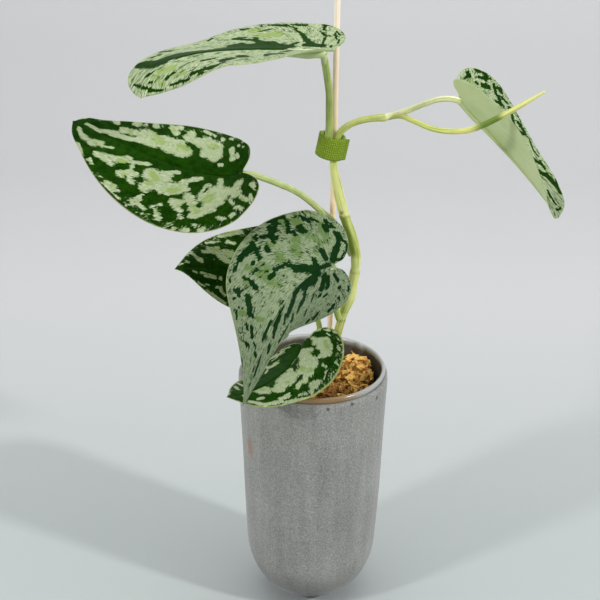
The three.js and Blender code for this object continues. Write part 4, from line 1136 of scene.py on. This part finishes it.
def blade_half(name, half):
    """Points, upper normals and painted fields of one half of a blade, row by row along the
    edge. The left half is 0 and the right half 1."""
    leaf = LEAVES[name]
    outline = leaf[HALVES[half]]
    u = np.linspace(0, 1, EDGE_STEPS + 1)[:, None] * np.ones(VEIN_STEPS + 1)
    v = np.ones(EDGE_STEPS + 1)[:, None] * np.linspace(0, 1, VEIN_STEPS + 1)
    x, y = vein_point(outline, u, v)
    place, normal = blade_point(leaf, half, x, y)
    w, s = streak_place(outline, x, y)
    tone, fresh = painted(name, HALVES[half], outline, x, y, v)
    edge = smoothstep(leaf.get("margin", MARGIN_START), 1, v)
    quilt = 0.06 * np.sin(w * 60 + 3 * half) * smoothstep(0.3, 0.7, s) * (1 - edge)
    wave = WAVE_RISE * np.sin(u * 17 + 2.1 * half + len(name)) * smoothstep(0.4, 1, v)
    groove = -GROOVE_DEPTH * np.exp(-((y / GROOVE_WIDTH) ** 2)) * smoothstep(1, 0.8, x)
    place = place + normal * (quilt + wave * leaf.get("wave", 0.4) + groove)[..., None]
    run = streak_run(outline, w, s) * midrib_frame(leaf, np.zeros(1))[4]
    field = np.stack([tone, fresh, edge, s, w * (90 if half == 0 else -90), run], -1)
    return place.reshape(-1, 3), normal.reshape(-1, 3), field.reshape(-1, 6)


def half_faces(half):
    """Faces of one half of a blade, all with their upper side out."""
    row = VEIN_STEPS + 1
    faces = []
    for i in range(EDGE_STEPS):
        for j in range(VEIN_STEPS):
            a = (half * (EDGE_STEPS + 1) + i) * row + j
            quad = (a, a + row, a + row + 1, a + 1)
            faces.append(quad if half == 0 else quad[::-1])
    return faces


def welded(place, faces):
    """Which points to keep where some fall together, each point's new number, and the faces
    in the new numbers without those that have closed up."""
    keys = np.round(place / WELD).astype(np.int64)
    _, kept, link = np.unique(keys, axis=0, return_index=True, return_inverse=True)
    order = np.argsort(kept)
    rank = np.empty_like(order)
    rank[order] = np.arange(len(order))
    link = rank[link.ravel()]
    clean = []
    for face in faces:
        loop = [int(link[k]) for k in face]
        loop = [k for i, k in enumerate(loop) if k != loop[i - 1]]
        if len(set(loop)) == len(loop) >= 3:
            clean.append(loop)
    return kept[order], link, clean


def open_edges(faces):
    """The directed edges that only one face has, in the order in which they come."""
    seen = {}
    for loop in faces:
        for a, b in zip(loop, loop[1:] + loop[:1]):
            if (b, a) in seen:
                del seen[(b, a)]
            else:
                seen[(a, b)] = True
    return list(seen)


def leaf_rib(name):
    """The rib: from the stalk's end on under the blade, thinning towards the tip."""
    leaf = LEAVES[name]
    ends = stalk_ends[name]
    ribs = list(ends[:: max(1, len(ends) // 4)][:4])
    for x in RIB_SPOTS:
        spot, _, up, _, _ = midrib_frame(leaf, np.array([x]))
        ribs.append((spot - up * (0.6 + (1.1 + leaf.get("sink", 0)) * (1 - x)))[0])
    flare = leaf.get("flare", 0.9)
    radii = [0.9 * leaf["radius"], flare * leaf["radius"], 1.2 + flare * 0.1, 1.0, 0.8, 0.6, 0.4, 0.3]
    return tube(rounded(ribs, RIB_STEPS), radii, RIB_SIDES)


for name in LEAVES:
    place, normal, field = (np.concatenate(pair) for pair in zip(blade_half(name, 0), blade_half(name, 1)))
    kept, link, clean = welded(place, half_faces(0) + half_faces(1))
    total = np.zeros((len(kept), 3))
    np.add.at(total, link, normal)
    total /= np.maximum(np.linalg.norm(total, axis=1), 1e-9)[:, None]
    place, field = place[kept], field[kept]
    n = len(place)
    rim = open_edges(clean)
    half_thick = (BLADE_HALF * (1 - EDGE_THINNING * field[:, 2]))[:, None]
    rings, rib_faces = leaf_rib(name)
    points = np.vstack([place + total * half_thick, place - total * half_thick, rings])
    faces = clean + [[k + n for k in reversed(loop)] for loop in clean]
    faces += [[b, a, a + n, b + n] for a, b in rim]
    faces += [[k + 2 * n for k in face] for face in rib_faces]
    piece = mesh_of(f"leaf_blade_{name}", points, faces, blade.material, under.material)
    below = np.repeat([0, 1, 0, 1], [len(clean), len(clean), len(rim), len(rib_faces)])
    piece.data.polygons.foreach_set("material_index", below)
    field = np.vstack([field, field, np.zeros((len(rings), 6))])
    fields = dict(zip(("tone", "fresh", "edge", "out"), field[:, :4].T))
    fields["cool_and_shade"] = np.full(len(field), COOLNESS_AND_SHADE[name])
    paint(piece, fields, "streaks", field[:, 4:6])
    seated(piece, f"leaf_{name}")


# New leaf: still rolled up into a slim yellow-green spear that the end of the stem sends out,
# its outer edge a spiral line. It turns up and thins to a soft point.
SPEAR_PATH = [
    (32.4, -5, 277), (39.5, -6, 278.4), (45.5, -9, 276.9), (54.5, -16, 275.1), (63.2, -24, 276.2),
    (71.3, -31, 279.4), (81.4, -38, 286.7), (91.2, -42, 294.1), (100.3, -45, 301),
]
SPEAR_RADII = [1.5, 1.4, 1.4, 1.4, 1.45, 1.45, 1.35, 1.15, 0.55]
SPEAR_SIDES = 24
SPEAR_STEPS = 200
SPEAR_PATTERN = 86
SPEAR_GREEN = srgb(190, 204, 92)
SPEAR_YELLOW = srgb(232, 230, 140)
SPEAR_DARK = srgb(106, 136, 26)


def rolled(turn, t):
    seam = np.angle(np.exp(1j * (turn - 2.2 - 2.6 * t)))
    step = 0.09 * smoothstep(-0.12, 0.12, seam) * (1 - smoothstep(0.12, 2.4, seam))
    return 0.94 + step * smoothstep(0.3, 0.45, t)


rings, faces = tube(rounded(SPEAR_PATH, SPEAR_STEPS), SPEAR_RADII, SPEAR_SIDES, rolled)
spear_skin = plant_skin("rolled_leaf", SPEAR_GREEN, SPEAR_YELLOW, SPEAR_DARK)
spear = mesh_of("rolled_new_leaf", rings, faces, spear_skin)
share = np.r_[np.repeat(np.linspace(0, 1, SPEAR_STEPS), SPEAR_SIDES), 0, 1]
shaded = smoothstep(0.55, 0.64, share) * smoothstep(0.77, 0.72, share) + 0.5 * smoothstep(0.2, 0, share)
marked(spear, SPEAR_SIDES, SPEAR_PATTERN, pale=smoothstep(0.3, 0.9, share), dark=shaded)
seated(spear, "new_leaf_spear")


# Tie: a short piece of green woven tape wound round stalk, stem and stick, its outer end
# lapped over the first turn and standing a little off at the right.
TIE_AT = (6.9, 2.9, 260.6)
TIE_TILT = math.radians(11)
TIE_HEIGHT = 10.5
TIE_HOLE = np.array([4.9, 6.8])
TIE_WALL = 1.2
TIE_LAP = 1.05
TIE_FLAP = [(7.2, -3.7), (7.9, -2.8), (8.2, -1.9), (7.6, -2.1), (6.7, -3.1)]
TIE_LEVELS = 15
TIE_GREEN = srgb(118, 144, 10)
TIE_LIGHT = srgb(168, 188, 78)
TIE_SHADE = srgb(76, 102, 0)

tape = Finish("woven_green_tape", roughness=0.9)
knit = 0.0
for way, scale, gain in (("Y", 0.26, 0.13), ("X", 0.3, 0.24)):
    wave_inputs = {"Vector": tape.uv("weave"), "Scale": scale, "Distortion": 0.6, "Detail": 2.0}
    threads = tape.node("ShaderNodeTexWave", wave_inputs, wave_type="BANDS", bands_direction=way)
    knit = tape.scaled(threads.outputs["Fac"], gain, knit)
knit = tape.scaled(tape.noise(tape.place(), 1800), 0.7, knit)
colour = tape.blend(tape.spread(knit, 0.25, 0.6), TIE_SHADE, TIE_GREEN)
tape.colour(tape.blend(tape.spread(knit, 0.55, 0.9), colour, TIE_LIGHT))
tape.relief(knit, 0.5, 0.0006)

turns = np.radians(np.linspace(-28, 332, 121))
circle = np.stack([np.cos(turns), np.sin(turns)], -1)
lap_from, lap_to = math.radians(146), math.radians(166)
lap = TIE_LAP * smoothstep(lap_from, lap_to, turns) * (turns > math.radians(152))
outer = np.vstack([(TIE_HOLE + TIE_WALL + lap[:, None]) * circle, TIE_FLAP])
inner = (TIE_HOLE + 0.05) * circle
inner = np.vstack([inner, np.tile(inner[-1:], (len(TIE_FLAP), 1))])
length = np.r_[0, np.cumsum(np.linalg.norm(np.diff(outer, axis=0), axis=1))]
levels = np.linspace(-0.5, 0.5, TIE_LEVELS)
rows = [(outer * (1 - 0.02 * abs(rise) ** 3), rise * TIE_HEIGHT) for rise in levels]
rows += [(inner, rise * TIE_HEIGHT) for rise in (levels[-1], levels[0])]
steps = len(outer)
points = np.vstack([np.column_stack([loop, np.full(steps, height)]) for loop, height in rows])
uvs = np.vstack([np.column_stack([length, np.full(steps, height)]) for _, height in rows])
faces = []
for i in range(len(rows)):
    j = (i + 1) % len(rows)
    for k in range(steps):
        n = (k + 1) % steps
        faces.append((i * steps + k, i * steps + n, j * steps + n, j * steps + k))
lean = np.array(Matrix.Rotation(TIE_TILT, 3, "Y"))
tie = mesh_of("woven_tie", points @ lean.T + TIE_AT, faces, tape.material)
paint(tie, {}, "weave", uvs)
seated(tie, "plant_tie")


# Stage: a pale seamless sweep of paper and soft studio light. Two small lamps stand at the
# left and right, a large one hangs above, and the room glows from all sides.
FLOOR_PAINTED_SHADE = srgb(178, 185, 184)
FLOOR_FAR = srgb(198, 199, 200)
WALL_PAINTED_LIGHT = srgb(250, 251, 253)
SWEEP_FRONT = -1.6
SWEEP_TURN = 0.75
SWEEP_BEND = 0.5
SWEEP_TOP = 2.4
SWEEP_SIDE = 2.4
ROOM_FRONT = 0.255
ROOM_SIDES = 0.36
ROOM_ABOVE = 0.18
LAMPS = {
    "light_left": dict(place=(-1.05, -0.8, 0.9), target=(0, 0, 0.12), size=0.14, power=8.6),
    "light_right": dict(place=(1.6, -0.87, 1.25), target=(0, 0, 0.12), size=0.14, power=23.5),
    "light_top": dict(place=(0.0, 0.15, 1.5), target=(0, 0, 0.1), size=1.3, power=8.5),
}

paper = Finish("pale_sweep", roughness=0.9, Specular_IOR_Level=0.2)
# Painted shade and light: the paper is painted darker at the front of the floor and lighter up the wall.
tint = paper.blend(paper.spread(paper.axis("Y"), 0.02, 0.45), FLOOR_PAINTED_SHADE, FLOOR_FAR)
paper.colour(paper.blend(paper.spread(paper.axis("Z"), 0.05, 0.6), tint, WALL_PAINTED_LIGHT))
bend = np.linspace(0, math.pi / 2, 17)
depth = np.r_[SWEEP_FRONT, SWEEP_TURN + SWEEP_BEND * np.sin(bend), SWEEP_TURN + SWEEP_BEND]
rise = np.r_[0, SWEEP_BEND * (1 - np.cos(bend)), SWEEP_TOP]
points = [(x / MM, y / MM, z / MM) for y, z in zip(depth, rise) for x in (-SWEEP_SIDE, SWEEP_SIDE)]
faces = [(2 * i, 2 * i + 1, 2 * i + 3, 2 * i + 2) for i in range(len(depth) - 1)]
sweep = mesh_of("studio_sweep", points, faces, paper.material)

for name, lamp in LAMPS.items():
    light = bpy.data.lights.new(name, "AREA")
    light.size = lamp["size"]
    light.energy = lamp["power"]
    box = bpy.data.objects.new(name, light)
    box.location = lamp["place"]
    aim = Vector(lamp["target"]) - Vector(lamp["place"])
    box.rotation_euler = aim.to_track_quat("-Z", "Y").to_euler()
    bpy.context.scene.collection.objects.link(box)

world = bpy.data.worlds.new("soft_room")
world.use_nodes = True
room = Nodes(world.node_tree)
facing = room.node("ShaderNodeTexCoord").outputs["Generated"]
toward = room.node("ShaderNodeSeparateXYZ", {0: facing}).outputs
glow = room.scaled(room.math("POWER", toward["X"], 2.0), ROOM_SIDES, ROOM_FRONT)
glow = room.scaled(room.math("MAXIMUM", toward["Z"], 0.0), ROOM_ABOVE, glow)
backdrop = room.tree.nodes["Background"]
room.tree.links.new(glow, backdrop.inputs["Strength"])
backdrop.inputs["Color"].default_value = (1, 1, 1, 1)
bpy.context.scene.world = world
bpy.context.scene.view_settings.view_transform = "Standard"
